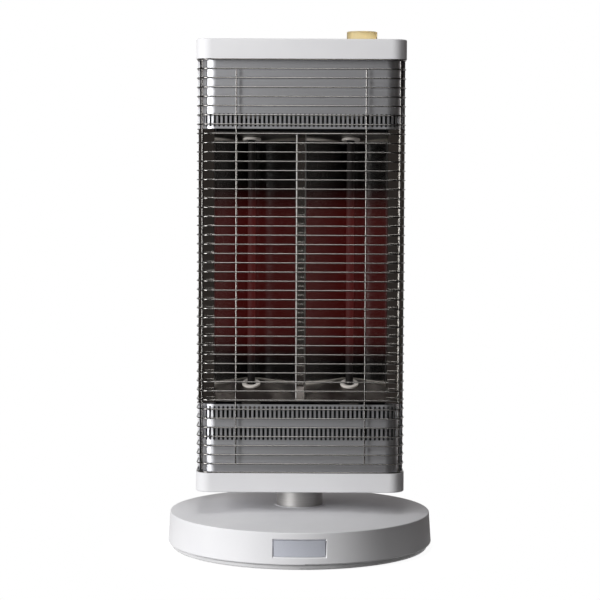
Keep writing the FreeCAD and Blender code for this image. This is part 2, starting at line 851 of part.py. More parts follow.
def oscillation_motor():
    """Flat gear motor on the base plate with two ears and a bearing hole for its shaft."""
    can = cylinder(dim.motor_diameter, dim.motor_height, pinion_distance, 0.0, plate_top)
    half_width = dim.motor_ear_width / 2
    half_span = motor_screw_reach + half_width
    ears = box(pinion_distance - half_width, pinion_distance + half_width, -half_span, half_span,
               plate_top, plate_top + dim.motor_ear_thickness)
    bore = cylinder(dim.motor_shaft_diameter + 2 * dim.running_clearance, dim.motor_bore_depth,
                    pinion_distance, 0.0, motor_top - dim.motor_bore_depth)
    holes = [cylinder(pilot_diameter, dim.motor_ear_thickness, x, y, plate_top)
             for x, y in motor_screw_places()]
    keep(cut(fuse([can, ears]), fuse([bore] + holes)), "oscillation_motor")
    plate_screws("motor_screws", motor_screw_places(), plate_top + dim.motor_ear_thickness)


def gear_outline(teeth, phase):
    """Closed wire of a spur gear with straight-flanked teeth, thinned by the backlash."""
    module = dim.gear_module.number
    pitch = module * teeth / 2
    root = pitch - TOOTH_ROOT_DEPTH * module
    tip = pitch + TOOTH_TIP_HEIGHT * module
    flank = math.tan(math.radians(TOOTH_FLANK_ANGLE))
    half_pitch_width = math.pi * module / 4 - dim.tooth_backlash.number / 2
    points = []
    for tooth in range(teeth):
        middle = phase + 2 * math.pi * tooth / teeth
        for radius, side in ((root, -1), (tip, -1), (tip, 1), (root, 1)):
            half_width = half_pitch_width - (radius - pitch) * flank
            angle = middle + side * half_width / radius
            points.append(Vector(radius * math.cos(angle), radius * math.sin(angle), 0))
    return Part.makePolygon(points + points[:1])


def gear_solid(teeth, phase, thickness):
    return Part.Face(gear_outline(teeth, phase)).extrude(Vector(0, 0, thickness))


def drive_pinion():
    """Small gear on the motor shaft; its shaft turns in the motor's bearing hole."""
    overhang = dim.pinion_overhang.number
    thickness = dim.gear_thickness.number + 2 * overhang
    gear_height = gear_bottom.number - overhang
    # A gap between two teeth faces the swivel gear, which shows a tooth there
    gear = gear_solid(PINION_TEETH, math.pi + math.pi / PINION_TEETH, thickness)
    gear.translate(Vector(pinion_distance.number, 0, gear_height))
    shaft_bottom = motor_top - dim.motor_bore_depth + dim.assembly_gap
    shaft = cylinder(dim.motor_shaft_diameter, gear_bottom - shaft_bottom, pinion_distance, 0.0, shaft_bottom)
    keep(fuse([feature(gear), shaft]), "drive_pinion")


def foot_switch():
    """Housing behind the window, the button that slides in it, its springs and the push switch."""
    clear = dim.button_clearance
    wall = dim.housing_wall
    flange_half = button_half + dim.button_flange_width
    lip_back = housing_front - dim.housing_lip_depth
    outer_half = flange_half + clear + wall
    shell_bottom = plate_rim_top + clear
    shell_top = button_top + clear + wall
    shell = box(-outer_half, outer_half, -housing_front, -housing_back, shell_bottom, shell_top)
    # The foot stands behind the base plate's rim
    foot = box(-outer_half, outer_half, -button_back, -housing_back, plate_top, shell_bottom)
    mouth = box(-button_half - clear, button_half + clear, -housing_front, -lip_back,
                button_bottom - clear, button_top + clear)
    inside = box(-flange_half - clear, flange_half + clear, -lip_back, -housing_back - wall,
                 button_bottom - clear, button_top + clear)
    pin_hole = cylinder(dim.plunger_pin_diameter + 4 * dim.assembly_gap, wall, 0.0,
                        -housing_back - wall, button_middle, ALONG_Y)
    keep(cut(fuse([shell, foot]), fuse([mouth, inside, pin_hole])), "switch_housing")
    block = box(-button_half, button_half, -cover_radius, -button_back, button_bottom, button_top)
    face = cylinder(2 * button_front, button_top, 0.0, 0.0, 0.0)
    flange = box(-flange_half, flange_half, dim.assembly_gap - lip_back, -button_back,
                 button_bottom, button_top)
    keep(fuse([common([block, face]), flange]), "foot_button")
    coils = [tube(dim.spring_diameter, dim.spring_diameter - 2 * dim.spring_wire_diameter, dim.spring_length,
                  side * dim.spring_offset, -button_back, button_middle, ALONG_Y) for side in (-1, 1)]
    keep(group(coils), "button_springs")
    size = dim.push_switch_width
    case = box(-size / 2, size / 2, -housing_back, -housing_back + size,
               button_middle - size / 2, button_middle + size / 2)
    pin = cylinder(dim.plunger_pin_diameter, wall + dim.spring_length / 2, 0.0,
                   -housing_back - wall - dim.spring_length / 2, button_middle, ALONG_Y)
    keep(fuse([case, pin]), "push_switch")


def tip_over_switch():
    """Switch on the base plate whose sprung plunger drops out when the base is lifted."""
    x, y = tip_switch_x, tip_switch_y
    half = dim.tip_switch_width / 2
    case = box(x - half, x + half, y - half, y + half, plate_top, plate_top + dim.tip_switch_height)
    bore_diameter = dim.tip_plunger_diameter + 2 * dim.running_clearance
    bore = cylinder(bore_diameter, tip_plunger_top + dim.tip_spring_length - plate_top, x, y, plate_top)
    keep(cut(case, bore), "tip_switch_body")
    head_bottom = plate_top + dim.tip_travel_length
    stem = cylinder(dim.tip_stem_diameter, dim.tip_plunger_length, x, y, dim.tip_plunger_gap)
    head = cylinder(dim.tip_plunger_diameter, tip_plunger_top - head_bottom, x, y, head_bottom)
    keep(fuse([stem, head]), "tip_plunger")
    keep(tube(dim.spring_diameter, dim.spring_diameter - 2 * dim.spring_wire_diameter, dim.tip_spring_length,
              x, y, tip_plunger_top), "tip_spring")


def terminal_block():
    half = dim.terminal_block_length / 2
    near = cover_radius - dim.terminal_block_inset
    keep(box(-half, half, near, near + dim.terminal_block_width,
             plate_top, plate_top + dim.terminal_block_height), "terminal_block")


# Neck


def neck_post():
    """Aluminium tube with a web that turns on the spigot and a foot flange that carries the gear."""
    body = new_body("neck_post")
    inner = post_radius - dim.post_wall
    flange = dim.post_flange_diameter / 2
    web_hole = dim.spigot_diameter / 2 + dim.running_clearance
    revolve(body, [
        (inner, post_bottom), (flange, post_bottom), (flange, gear_bottom),
        (post_radius, gear_bottom), (post_radius, post_top), (inner, post_top),
        (inner, post_web_top), (web_hole, post_web_top),
        (web_hole, post_web_bottom), (inner, post_web_bottom),
    ])
    keep(body, "neck_post")


def swivel_gear():
    gear = gear_solid(SWIVEL_GEAR_TEETH, 0.0, dim.gear_thickness.number)
    gear.translate(Vector(0, 0, gear_bottom.number))
    bore = cylinder(dim.post_diameter + 2 * dim.assembly_gap, dim.gear_thickness, 0.0, 0.0, gear_bottom)
    keep(cut(feature(gear), bore), "swivel_gear")


def tilt_joint():
    """Bracket with two ears on the post, the cross pin, its nut and the friction washers."""
    disc_thickness = dim.tilt_plate_thickness
    disc = cylinder(dim.post_diameter, disc_thickness, 0.0, 0.0, post_top)
    wire_hole = cylinder(dim.cable_bore_diameter, disc_thickness, 0.0, 0.0, post_top)
    ear_inner = dim.tilt_ear_spacing / 2
    ear_outer = ear_inner + dim.tilt_ear_thickness
    half_width = dim.tilt_ear_width / 2
    pin_hole = dim.pin_diameter + 2 * dim.pin_clearance
    height = tilt_height
    ear_thickness = dim.tilt_ear_thickness
    pieces = [disc]
    holes = [wire_hole]
    for start in (-ear_outer, ear_inner):
        pieces.append(box(start, start + ear_thickness, -half_width, half_width, post_top, height))
        pieces.append(cylinder(dim.tilt_ear_width, ear_thickness, start, 0.0, height, ALONG_X))
        holes.append(cylinder(pin_hole, ear_thickness, start, 0.0, height, ALONG_X))
    keep(cut(fuse(pieces), fuse(holes)), "tilt_bracket")
    washer = dim.tilt_washer_thickness
    washers = [tube(dim.tilt_eye_diameter, pin_hole, washer, start, 0.0, height, ALONG_X)
               for start in (-ear_outer - washer, ear_outer)]
    keep(group(washers), "friction_washers")
    nut_start = ear_outer + washer + 2 * dim.tilt_gap + dim.tilt_hinge_thickness
    nut_length = dim.pin_head_thickness
    head_start = -nut_start - nut_length
    head = cylinder(dim.pin_head_diameter, nut_length, head_start, 0.0, height, ALONG_X)
    pin_end = nut_start + nut_length + dim.pin_clearance
    shank = cylinder(dim.pin_diameter, pin_end - head_start, head_start, 0.0, height, ALONG_X)
    keep(fuse([head, shank]), "tilt_pin")
    keep(tube(dim.pin_head_diameter, pin_hole, nut_length, nut_start, 0.0, height, ALONG_X), "tilt_nut")


# Head frame and shells


def tilt_hinges():
    """Two L brackets under the head's floor plate that turn on the tilt pin."""
    start = dim.tilt_ear_spacing / 2 + dim.tilt_ear_thickness + dim.tilt_washer_thickness + dim.tilt_gap
    end = start + dim.tilt_hinge_thickness
    foot_end = end + dim.tilt_hinge_foot_length
    half_width = dim.tilt_eye_diameter / 2
    pieces = []
    for side in (-1, 1):
        inner, outer = (start, end) if side > 0 else (-end, -start)
        foot_inner, foot_outer = (end, foot_end) if side > 0 else (-foot_end, -end)
        ear = box(inner, outer, -half_width, half_width, tilt_height, lower_chassis_bottom)
        eye = cylinder(dim.tilt_eye_diameter, dim.tilt_hinge_thickness, inner, 0.0, tilt_height, ALONG_X)
        foot = box(foot_inner, foot_outer, -half_width, half_width,
                   lower_chassis_bottom - dim.tilt_hinge_thickness, lower_chassis_bottom)
        hole = cylinder(dim.pin_diameter + 2 * dim.pin_clearance, dim.tilt_hinge_thickness,
                        inner, 0.0, tilt_height, ALONG_X)
        pieces.append(cut(fuse([ear, eye, foot]), hole))
    keep(group(pieces), "tilt_hinges")


def head_outline(sketch, inset=0.0):
    radius = dim.head_corner_radius - inset
    rounded_rectangle(sketch, -head_half + inset, head_half - inset,
                      -head_half_depth + inset, head_half_depth - inset, radius)


def head_boss_places():
    return four_corners(head_boss_x, head_boss_y)


def bottom_tray():
    """White tray round the foot of the head, with an opening for the tilting neck."""
    body = new_body("bottom_tray")
    wall = dim.shell_wall
    plate(body, head_bottom, dim.tray_height, head_outline)
    round_level_edges(body, head_bottom, dim.shell_edge_radius)
    floor = head_bottom + wall
    hollow(body, floor, dim.tray_height - wall, lambda sketch: head_outline(sketch, wall))
    side = post_radius + dim.neck_side_gap
    back = post_radius + dim.neck_back_gap
    hollow(body, head_bottom, wall,
           lambda sketch: rounded_rectangle(sketch, -side, side, -side, back, dim.head_corner_radius))
    plate(body, floor, lower_chassis_bottom - floor,
          lambda sketch: circles(sketch, head_boss_places(), dim.boss_diameter / 2))
    hollow(body, floor, lower_chassis_bottom - floor,
           lambda sketch: circles(sketch, head_boss_places(), pilot_diameter / 2))
    keep(body, "bottom_tray")


def top_cap():
    """White cap over the head, with screw bosses and a hole for the dial's shaft."""
    body = new_body("top_cap")
    wall = dim.shell_wall
    plate(body, cap_bottom, dim.cap_height, head_outline)
    round_level_edges(body, head_top, dim.shell_edge_radius)
    hollow(body, cap_bottom, dim.cap_height - wall, lambda sketch: head_outline(sketch, wall))
    hollow(body, head_top - wall, wall,
           lambda sketch: circles(sketch, [(dial_x, 0.0)], dim.dial_hole_diameter / 2))
    boss_height = head_top - wall - upper_chassis_top
    plate(body, upper_chassis_top, boss_height,
          lambda sketch: circles(sketch, head_boss_places(), dim.boss_diameter / 2))
    hollow(body, upper_chassis_top, boss_height,
           lambda sketch: circles(sketch, head_boss_places(), pilot_diameter / 2))
    keep(body, "top_cap")


def chassis_plate(label, bottom):
    """Sheet that carries the panels, the back plate and a shell."""
    body = new_body(label)
    plate(body, bottom, dim.chassis_thickness,
          lambda sketch: rounded_rectangle(
              sketch, -panel_half, panel_half, -panel_front, chassis_back, dim.panel_corner_radius))
    hollow(body, bottom, dim.chassis_thickness,
           lambda sketch: circles(sketch, head_boss_places(), pilot_diameter / 2))
    keep(body, label)


def head_screws():
    down = Vector(0, 0, -1)
    screws("tray_screws", [(x, y, lower_chassis_top) for x, y in head_boss_places()], down)
    screws("cap_screws", [(x, y, upper_chassis_bottom) for x, y in head_boss_places()], -down)


def back_plate():
    keep(box(-reflector_rim_x, reflector_rim_x,
             -dim.back_plate_offset, dim.back_plate_thickness - dim.back_plate_offset,
             lower_chassis_top, upper_chassis_bottom), "back_plate")


def slot_prism(width, length, depth):
    """A round-ended upright slot cutter, centred at the origin and running along Y."""
    radius = width / 2
    straight = length / 2 - radius
    block = Part.makeBox(width, depth, 2 * straight, Vector(-radius, -depth / 2, -straight))
    ends = [Part.makeCylinder(radius, depth, Vector(0, -depth / 2, height), Vector(0, 1, 0))
            for height in (-straight, straight)]
    return block.fuse(ends[0]).fuse(ends[1]).removeSplitter()


def slot_place(run, row):
    """Place for a slot at a distance along the panel from its middle, over the face or round a bend."""
    flat = panel_flat_half.number
    radius = dim.panel_corner_radius.number
    side = math.copysign(1.0, run)
    past_flat = max(abs(run) - flat, 0.0)
    spin = Rotation(Vector(0, 0, 1), side * math.degrees(past_flat / radius))
    bend_centre = Vector(side * min(abs(run), flat), radius - panel_front.number, row)
    return Placement(bend_centre + spin.multVec(Vector(0, -radius, 0)), spin)


def panel_slot_cutters(rows):
    """Cutters for the vent slots of a front panel."""
    cut_depth = 6 * dim.panel_thickness.number
    one = slot_prism(dim.slot_width.number, dim.slot_length.number, cut_depth)
    cutters = []
    for row in rows:
        for index in range(FRONT_SLOT_COUNT + 2 * CORNER_SLOT_COUNT):
            run = (index - CORNER_SLOT_COUNT) * slot_spacing.number - panel_flat_half.number
            copy = one.copy()
            copy.Placement = slot_place(run - dim.slot_row_shift_left.number, row)
            cutters.append(copy)
    return feature(Part.makeCompound(cutters), "slots")


def front_panel(label, bottom, top, rows):
    """Silver sheet wrapped round the front of the head, with rows of vent slots."""
    body = new_body(label + "_sheet")
    plate(body, bottom, top - bottom,
          lambda sketch: u_section(sketch, panel_half, -panel_front, -panel_side_end,
                                   dim.panel_corner_radius, dim.panel_thickness))
    keep(cut(body, panel_slot_cutters([number_of(row) for row in rows])), label)


def front_panels():
    half_slot = dim.slot_length / 2
    upper_row = upper_panel_bottom + dim.slot_edge_gap + half_slot
    front_panel("upper_front_panel", upper_panel_bottom, upper_chassis_bottom, [upper_row])
    first_row = lower_panel_top - dim.slot_edge_gap - half_slot
    second_row = first_row - dim.slot_length - dim.slot_row_gap
    front_panel("lower_front_panel", lower_chassis_top, lower_panel_top, [first_row, second_row])


def rear_cover():
    """White shell round the back of the head, with two blocks of vent slots."""
    body = new_body("rear_cover_shell")
    back = rear_cover_back
    plate(body, tray_top, cap_bottom - tray_top,
          lambda sketch: u_section(sketch, rear_cover_half, back, -rear_cover_front,
                                   dim.head_corner_radius, dim.rear_cover_wall))
    one = slot_prism(dim.rear_vent_width.number, dim.rear_vent_length.number, 3 * dim.rear_cover_wall.number)
    reach = dim.rear_vent_inset + dim.rear_vent_length / 2
    heights = [(tray_top + reach).number, (cap_bottom - reach).number]
    cutters = []
    for height in heights:
        for index in range(REAR_VENT_COUNT):
            x = (index - (REAR_VENT_COUNT - 1) / 2) * dim.rear_vent_spacing.number
            cutters.append(one.translated(Vector(x, back.number, height)))
    wall = dim.rear_cover_wall
    holes = [cylinder(pilot_diameter, wall, x, back - wall, z, ALONG_Y) for x, z in standoff_places()]
    keep(cut(body, fuse([feature(Part.makeCompound(cutters), "vents")] + holes)), "rear_cover")


def standoff_places():
    low = tray_top + dim.standoff_end_inset
    high = cap_bottom - dim.standoff_end_inset
    return [(side * standoff_x, height) for side in (-1, 1) for height in (low, high)]


def rear_standoffs():
    """Posts from the back plate to the rear cover, and the screws that hold the cover to them."""
    start = dim.back_plate_thickness - dim.back_plate_offset
    end = rear_cover_back - dim.rear_cover_wall
    posts = [tube(dim.standoff_diameter, pilot_diameter, end - start, x, start, z, ALONG_Y)
             for x, z in standoff_places()]
    keep(group(posts), "rear_standoffs")
    seats = [(x, rear_cover_back, z) for x, z in standoff_places()]
    screws("rear_cover_screws", seats, Vector(0, -1, 0))


# Reflectors and heaters


def between_end_plates():
    """The space between the two sloping end plates, as a prism across the head."""
    gap = dim.assembly_gap
    body = new_body("reflector_space")
    sketch = sketch_on(body, "YZ_Plane", -head_half)
    outline(sketch, [
        (-end_plate_front, lower_end_front + gap), (-end_plate_back, lower_end_back + gap),
        (-end_plate_back, upper_end_back - gap), (-end_plate_front, upper_end_front - gap),
    ])
    pad(body, sketch, dim.head_width)
    return body


def parabola_edge(side, vertex, reverse):
    """A curve that opens towards the front, from a reflector's inner rim to its outer one."""
    span = (inner_span + outer_span).number
    points = []
    for step in range(CURVE_STEPS + 1):
        offset = span * step / CURVE_STEPS - inner_span.number
        depth = offset ** 2 / (4 * reflector_focal.number)
        points.append(Vector(side * (heater_x.number + offset), vertex - depth, 0))
    if reverse:
        points.reverse()
    curve = Part.BSplineCurve()
    curve.interpolate(points)
    return curve.toShape()


def reflector(label, side, space):
    """Polished trough with a parabolic section and the heater at its focus, closed off by the end plates."""
    front_vertex = -reflector_vertex.number
    front = parabola_edge(side, front_vertex, False)
    back = parabola_edge(side, front_vertex + dim.reflector_thickness.number, True)
    rims = [Part.LineSegment(front.lastVertex().Point, back.firstVertex().Point).toShape(),
            Part.LineSegment(back.lastVertex().Point, front.firstVertex().Point).toShape()]
    section = Part.Face(Part.Wire([front, rims[0], back, rims[1]]))
    section.translate(Vector(0, 0, lower_panel_top.number))
    trough = section.extrude(Vector(0, 0, upper_panel_bottom.number - lower_panel_top.number))
    keep(common([feature(trough, "trough"), space]), label)


def end_plate(label, front_height, back_height, sheet_step):
    """Sloping sheet across one end of the reflectors, with holes for the heaters."""
    body = new_body(label + "_sheet")
    half = reflector_rim_x
    sketch = sketch_on(body, "YZ_Plane", -half)
    outline(sketch, [
        (-end_plate_front, front_height), (-end_plate_back, back_height),
        (-end_plate_back, back_height + sheet_step), (-end_plate_front, front_height + sheet_step),
    ])
    pad(body, sketch, 2 * half)
    hole_length = 2 * dim.ring_diameter
    hole_bottom = (front_height + back_height - hole_length) / 2
    holes = [cylinder(dim.ring_bore_diameter, hole_length, side * heater_x, heater_y, hole_bottom)
             for side in (-1, 1)]
    keep(cut(body, fuse(holes)), label)


def end_plates():
    sheet_thickness = dim.end_plate_thickness
    end_plate("lower_end_plate", lower_end_front, lower_end_back, -sheet_thickness)
    end_plate("upper_end_plate", upper_end_front, upper_end_back, sheet_thickness)


def heater_rings():
    """Ceramic rings on the sloping end plates, one round each heater end."""
    run = (end_plate_front - end_plate_back).number
    thickness = dim.ring_thickness.number
    ends = ((lower_end_front, lower_end_back, 1), (upper_end_front, upper_end_back, -1))
    rings = []
    for front, back, up in ends:
        rise = back.number - front.number
        normal = Vector(0, -rise, run).normalize() * up
        # The heater runs through the middle of the ring's thickness
        seat_y = heater_y.number - normal.y * thickness / 2
        height = front.number + rise * (end_plate_front.number + seat_y) / run
        for side in (-1, 1):
            seat = Vector(side * heater_x.number, seat_y, height)
            outer = Part.makeCylinder(dim.ring_diameter.number / 2, thickness, seat, normal)
            inner = Part.makeCylinder(dim.ring_bore_diameter.number / 2, thickness, seat, normal)
            rings.append(outer.cut(inner))
    keep(feature(Part.makeCompound(rings)), "heater_rings")


def heater(label, side):
    """Straight sheathed element with a connection stud at each end."""
    x = side * heater_x
    bottom = lower_panel_top - dim.heater_end_length
    top = upper_panel_bottom + dim.heater_end_length
    rod = cylinder(dim.heater_diameter, top - bottom, x, heater_y, bottom)
    studs = cylinder(dim.heater_stud_diameter, top - bottom + 2 * dim.heater_stud_length,
                     x, heater_y, bottom - dim.heater_stud_length)
    keep(fuse([rod, studs]), label)


def heater_holders():
    """Blocks on the back plate that grip each end of the heaters."""
    half = dim.holder_width / 2
    low = lower_panel_top - dim.lower_holder_gap - dim.holder_height
    high = upper_panel_bottom + dim.heater_end_length / 2 - dim.holder_height / 2
    pieces = []
    for side in (-1, 1):
        x = side * heater_x
        for bottom in (low, high):
            block = box(x - half, x + half, heater_y - half, -dim.back_plate_offset,
                        bottom, bottom + dim.holder_height)
            hole = cylinder(dim.heater_diameter + dim.assembly_gap, dim.holder_height, x, heater_y, bottom)
            pieces.append(cut(block, hole))
    keep(group(pieces), "heater_holders")


def centre_divider(space):
    """Channel between the two reflectors, with a bright floor and lips along their inner rims."""
    body = new_body("divider_sheet")
    half = dim.divider_width / 2
    wall = half - dim.divider_lip_width
    thickness = dim.divider_thickness
    lip = dim.divider_front_inset - panel_front
    lip_edge = lip + dim.divider_lip_drop
    floor = lip + dim.divider_depth
    front = [(-half, lip_edge), (-wall, lip), (-wall, floor), (wall, floor), (wall, lip), (half, lip_edge)]
    outside = wall + thickness
    back = [
        (half, lip_edge + thickness), (outside, lip + thickness), (outside, floor + thickness),
        (-outside, floor + thickness), (-outside, lip + thickness), (-half, lip_edge + thickness),
    ]
    plate(body, lower_panel_top, upper_panel_bottom - lower_panel_top,
          lambda sketch: outline(sketch, front + back))
    keep(common([body, space]), "centre_divider")


def side_shield(label, side):
    """Sheet from a reflector's outer rim forward, across and back along the side, with end flanges."""
    body = new_body(label + "_sheet")
    outer = head_half - dim.shield_side_inset
    rim = reflector_rim_x + dim.assembly_gap
    face = -reflector_front
    shoulder = outer - dim.shield_bend_width
    bend = dim.shield_front_inset - panel_front
    thickness = dim.shield_thickness
    inner_edge = outer - thickness
    lip = -reflector_outer_front
    corners = [
        (rim, lip), (rim, face), (shoulder, face), (outer, bend), (outer, -panel_side_end),
        (inner_edge, -panel_side_end), (inner_edge, bend),
        (shoulder - thickness / 2, face + thickness), (rim + thickness, face + thickness),
        (rim + thickness, lip),
    ]
    bottom = lower_panel_top + dim.assembly_gap
    top = upper_panel_bottom - dim.assembly_gap
    plate(body, bottom, top - bottom, lambda sketch: outline(sketch, [(side * x, y) for x, y in corners]))
    outer_edge = outer + dim.shield_flange_width
    left, right = (inner_edge, outer_edge) if side > 0 else (-outer_edge, -inner_edge)
    flange_back = -rear_cover_front - dim.assembly_gap
    flange = dim.shield_flange_thickness
    flanges = [box(left, right, bend, flange_back, height, height + flange)
               for height in (bottom, top - flange)]
    keep(fuse([body] + flanges), label)


# Wire guard


def guard_bar():
    """One guard wire at height zero: straight across the front, round both corners and back."""
    half = guard_half.number
    front = -guard_front.number
    radius = dim.guard_corner_radius.number
    end = -rear_cover_front.number - dim.weld_gap.number
    bow = radius * (1 - math.sqrt(0.5))
    left = [Vector(-half, end, 0), Vector(-half, front + radius, 0), Vector(-half + radius, front, 0)]
    right = [Vector(-point.x, point.y, 0) for point in reversed(left)]
    path = [
        Part.LineSegment(left[0], left[1]),
        Part.Arc(left[1], Vector(-half + bow, front + bow, 0), left[2]),
        Part.LineSegment(left[2], right[0]),
        Part.Arc(right[0], Vector(half - bow, front + bow, 0), right[1]),
        Part.LineSegment(right[1], right[2]),
    ]
    spine = Part.Wire([piece.toShape() for piece in path])
    section = Part.Wire(Part.makeCircle(dim.wire_diameter.number / 2, left[0], Vector(0, -1, 0)))
    return spine.makePipeShell([section], True, False)


def guard_bars():
    one = guard_bar()
    pitch = (guard_first_bar - guard_last_bar).number / (GUARD_BAR_COUNT - 1)
    edge = dim.wire_diameter.number / 2 + dim.weld_gap.number
    heights = [guard_last_bar.number + index * pitch for index in range(GUARD_BAR_COUNT)]
    heights = [tray_top.number + edge] + heights + [cap_bottom.number - edge]
    bars = [one.translated(Vector(0, 0, height)) for height in heights]
    keep(feature(Part.makeCompound(bars)), "guard_bars")


def guard_uprights():
    """Upright wires welded behind the bars: two across the front and one on each corner bend."""
    wire = dim.wire_diameter
    behind = wire + dim.weld_gap
    front_length = guard_first_bar - guard_last_bar
    edge = wire / 2 + dim.weld_gap
    corner_length = cap_bottom - tray_top - 2 * edge
    bend = dim.guard_corner_radius
    reach = bend - behind
    angle = math.radians(CORNER_UPRIGHT_ANGLE)
    corner_x = guard_half - bend + reach * math.sin(angle)
    corner_y = bend - guard_front - reach * math.cos(angle)
    pieces = []
    for side in (-1, 1):
        front_x = side * dim.guard_upright_spacing / 2
        pieces.append(cylinder(wire, front_length, front_x, behind - guard_front, guard_last_bar))
        pieces.append(cylinder(wire, corner_length, side * corner_x, corner_y, tray_top + edge))
    keep(group(pieces), "guard_uprights")


# Dial and controls


def heat_dial():
    """Round knob on the cap with a shaft that turns in the potentiometer."""
    body = new_body("heat_dial")
    radius = dim.dial_diameter / 2
    top = dial_bottom + dim.dial_height
    edge = dim.dial_edge_radius
    shaft = dim.dial_shaft_diameter / 2
    shaft_bottom = upper_chassis_top + dim.pot_floor_thickness + dim.assembly_gap
    revolve(body, [
        (0.0, shaft_bottom), (shaft, shaft_bottom), (shaft, dial_bottom), (radius, dial_bottom),
        (radius, top - edge), (radius - edge, top), (0.0, top),
    ], {4: (edge, 1)})
    place(body, dial_x, 0.0, 0.0)
    keep(body, "heat_dial")


def controls():
    """Potentiometer under the dial, the control board on its standoffs and the thermal cut-out."""
    pot = cylinder(dim.pot_diameter, dim.pot_height, dial_x, 0.0, upper_chassis_top)
    bore_diameter = dim.dial_shaft_diameter + 2 * dim.running_clearance
    bore = cylinder(bore_diameter, dim.pot_height - dim.pot_floor_thickness,
                    dial_x, 0.0, upper_chassis_top + dim.pot_floor_thickness)
    keep(cut(pot, bore), "dial_potentiometer")
    half_length = dim.board_length / 2
    half_width = dim.board_width / 2
    board_top = board_bottom + dim.board_thickness
    board = box(board_x - half_length, board_x + half_length, -half_width, half_width,
                board_bottom, board_top)
    half_relay = dim.relay_width / 2
    relays = []
    for step in (-1, 0, 1):
        middle = board_x + step * dim.relay_spacing
        relays.append(box(middle - half_relay, middle + half_relay, -half_relay, half_relay,
                          board_top, board_top + half_relay))
    keep(fuse([board] + relays), "control_board")
    margin = dim.boss_diameter / 2
    posts = [cylinder(dim.screw_head_diameter, dim.board_standoff_height, board_x + x, y, upper_chassis_top)
             for x, y in four_corners(half_length - margin, half_width - margin)]
    keep(group(posts), "board_standoffs")
    back_plate_rear = dim.back_plate_thickness - dim.back_plate_offset
    cutout_height = upper_chassis_bottom - dim.cutout_top_inset
    cutout = cylinder(dim.cutout_diameter, dim.cutout_thickness, 0.0, back_plate_rear, cutout_height, ALONG_Y)
    keep(cutout, "thermal_cutout")


def write_parts():
    """Check every object, then write each piece to a file under its own name."""
    failed = [thing.Label for thing in doc.Objects if {"Invalid", "Error"} & set(thing.State)]
    bad = [thing.Label for thing in nodes if thing.Shape.isNull() or not thing.Shape.isValid()]
    if failed or bad:
        raise RuntimeError(f"failed objects {failed}, bad shapes {bad}")
    os.makedirs("parts", exist_ok=True)
    for thing in nodes:
        thing.Shape.exportStep(f"parts/{thing.Label}.step")
        print(f"{thing.Label}: {len(thing.Shape.Solids)} solids, {thing.Shape.Volume:.0f} mm3")


base_cover()
base_plate()
rubber_feet()
base_screws()
cord_gland()
swivel_pedestal()
swivel_bearings()
oscillation_motor()
drive_pinion()
foot_switch()
tip_over_switch()
terminal_block()
neck_post()
swivel_gear()
tilt_joint()
tilt_hinges()
bottom_tray()
top_cap()
chassis_plate("lower_chassis", lower_chassis_bottom)
chassis_plate("upper_chassis", upper_chassis_bottom)
head_screws()
back_plate()
front_panels()
rear_cover()
rear_standoffs()
reflector_space = between_end_plates()
for reflector_name, reflector_side in (("left_reflector", -1), ("right_reflector", 1)):
    reflector(reflector_name, reflector_side, reflector_space)
end_plates()
heater_rings()
for heater_name, heater_side in (("left_heater", -1), ("right_heater", 1)):
    heater(heater_name, heater_side)
heater_holders()
centre_divider(reflector_space)
for shield_name, shield_side in (("left_side_shield", -1), ("right_side_shield", 1)):
    side_shield(shield_name, shield_side)
guard_bars()
guard_uprights()
heat_dial()
controls()
doc.recompute()
write_parts()
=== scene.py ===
"""Looks of an upright far infrared heater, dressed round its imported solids.

The front of the heater faces -Y, Z is up and lengths are in metres.
"""

import json
import math

import bmesh
import bpy
from mathutils import Matrix, Vector


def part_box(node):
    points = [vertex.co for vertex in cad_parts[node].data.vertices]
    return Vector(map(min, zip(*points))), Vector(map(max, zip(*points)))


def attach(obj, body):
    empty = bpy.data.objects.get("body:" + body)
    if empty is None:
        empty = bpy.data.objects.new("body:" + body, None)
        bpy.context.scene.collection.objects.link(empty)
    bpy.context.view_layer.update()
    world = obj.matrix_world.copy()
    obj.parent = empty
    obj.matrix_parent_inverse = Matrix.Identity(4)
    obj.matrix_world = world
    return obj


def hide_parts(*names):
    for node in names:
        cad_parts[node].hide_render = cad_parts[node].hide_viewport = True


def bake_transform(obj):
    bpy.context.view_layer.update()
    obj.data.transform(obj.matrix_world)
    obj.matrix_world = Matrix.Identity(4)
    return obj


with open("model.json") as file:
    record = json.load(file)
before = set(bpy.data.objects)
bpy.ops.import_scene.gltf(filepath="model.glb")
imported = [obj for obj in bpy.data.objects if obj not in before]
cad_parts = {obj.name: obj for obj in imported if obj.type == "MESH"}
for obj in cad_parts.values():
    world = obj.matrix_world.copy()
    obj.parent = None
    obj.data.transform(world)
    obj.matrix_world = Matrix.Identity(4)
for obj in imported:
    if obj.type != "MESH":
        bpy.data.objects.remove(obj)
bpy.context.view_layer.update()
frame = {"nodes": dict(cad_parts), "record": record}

# Camera at the photograph's viewing angle, with its angles in degrees and its lens and sensor in millimetres
CAMERA_PLACE = (-0.0008, -2.6, 0.498)
CAMERA_PITCH = 3.7
CAMERA_ROLL = 0.25
CAMERA_LENS = 117.8
CAMERA_SENSOR_WIDTH = 36.0

# Key light: a tall soft box at the front left
KEY_PLACE = (-1.46, -1.15, 0.58)
KEY_TARGET = (0.0, 0.0, 0.35)
KEY_WIDTH = 0.6
KEY_HEIGHT = 1.2
KEY_POWER = 34.4

# Fill light: a narrow soft box overhead, in front of the heater
FILL_PLACE = (-0.10, -0.95, 1.80)
FILL_TARGET = (0.0, 0.0, 0.40)
FILL_WIDTH = 0.5
FILL_HEIGHT = 1.0
FILL_POWER = 9.0

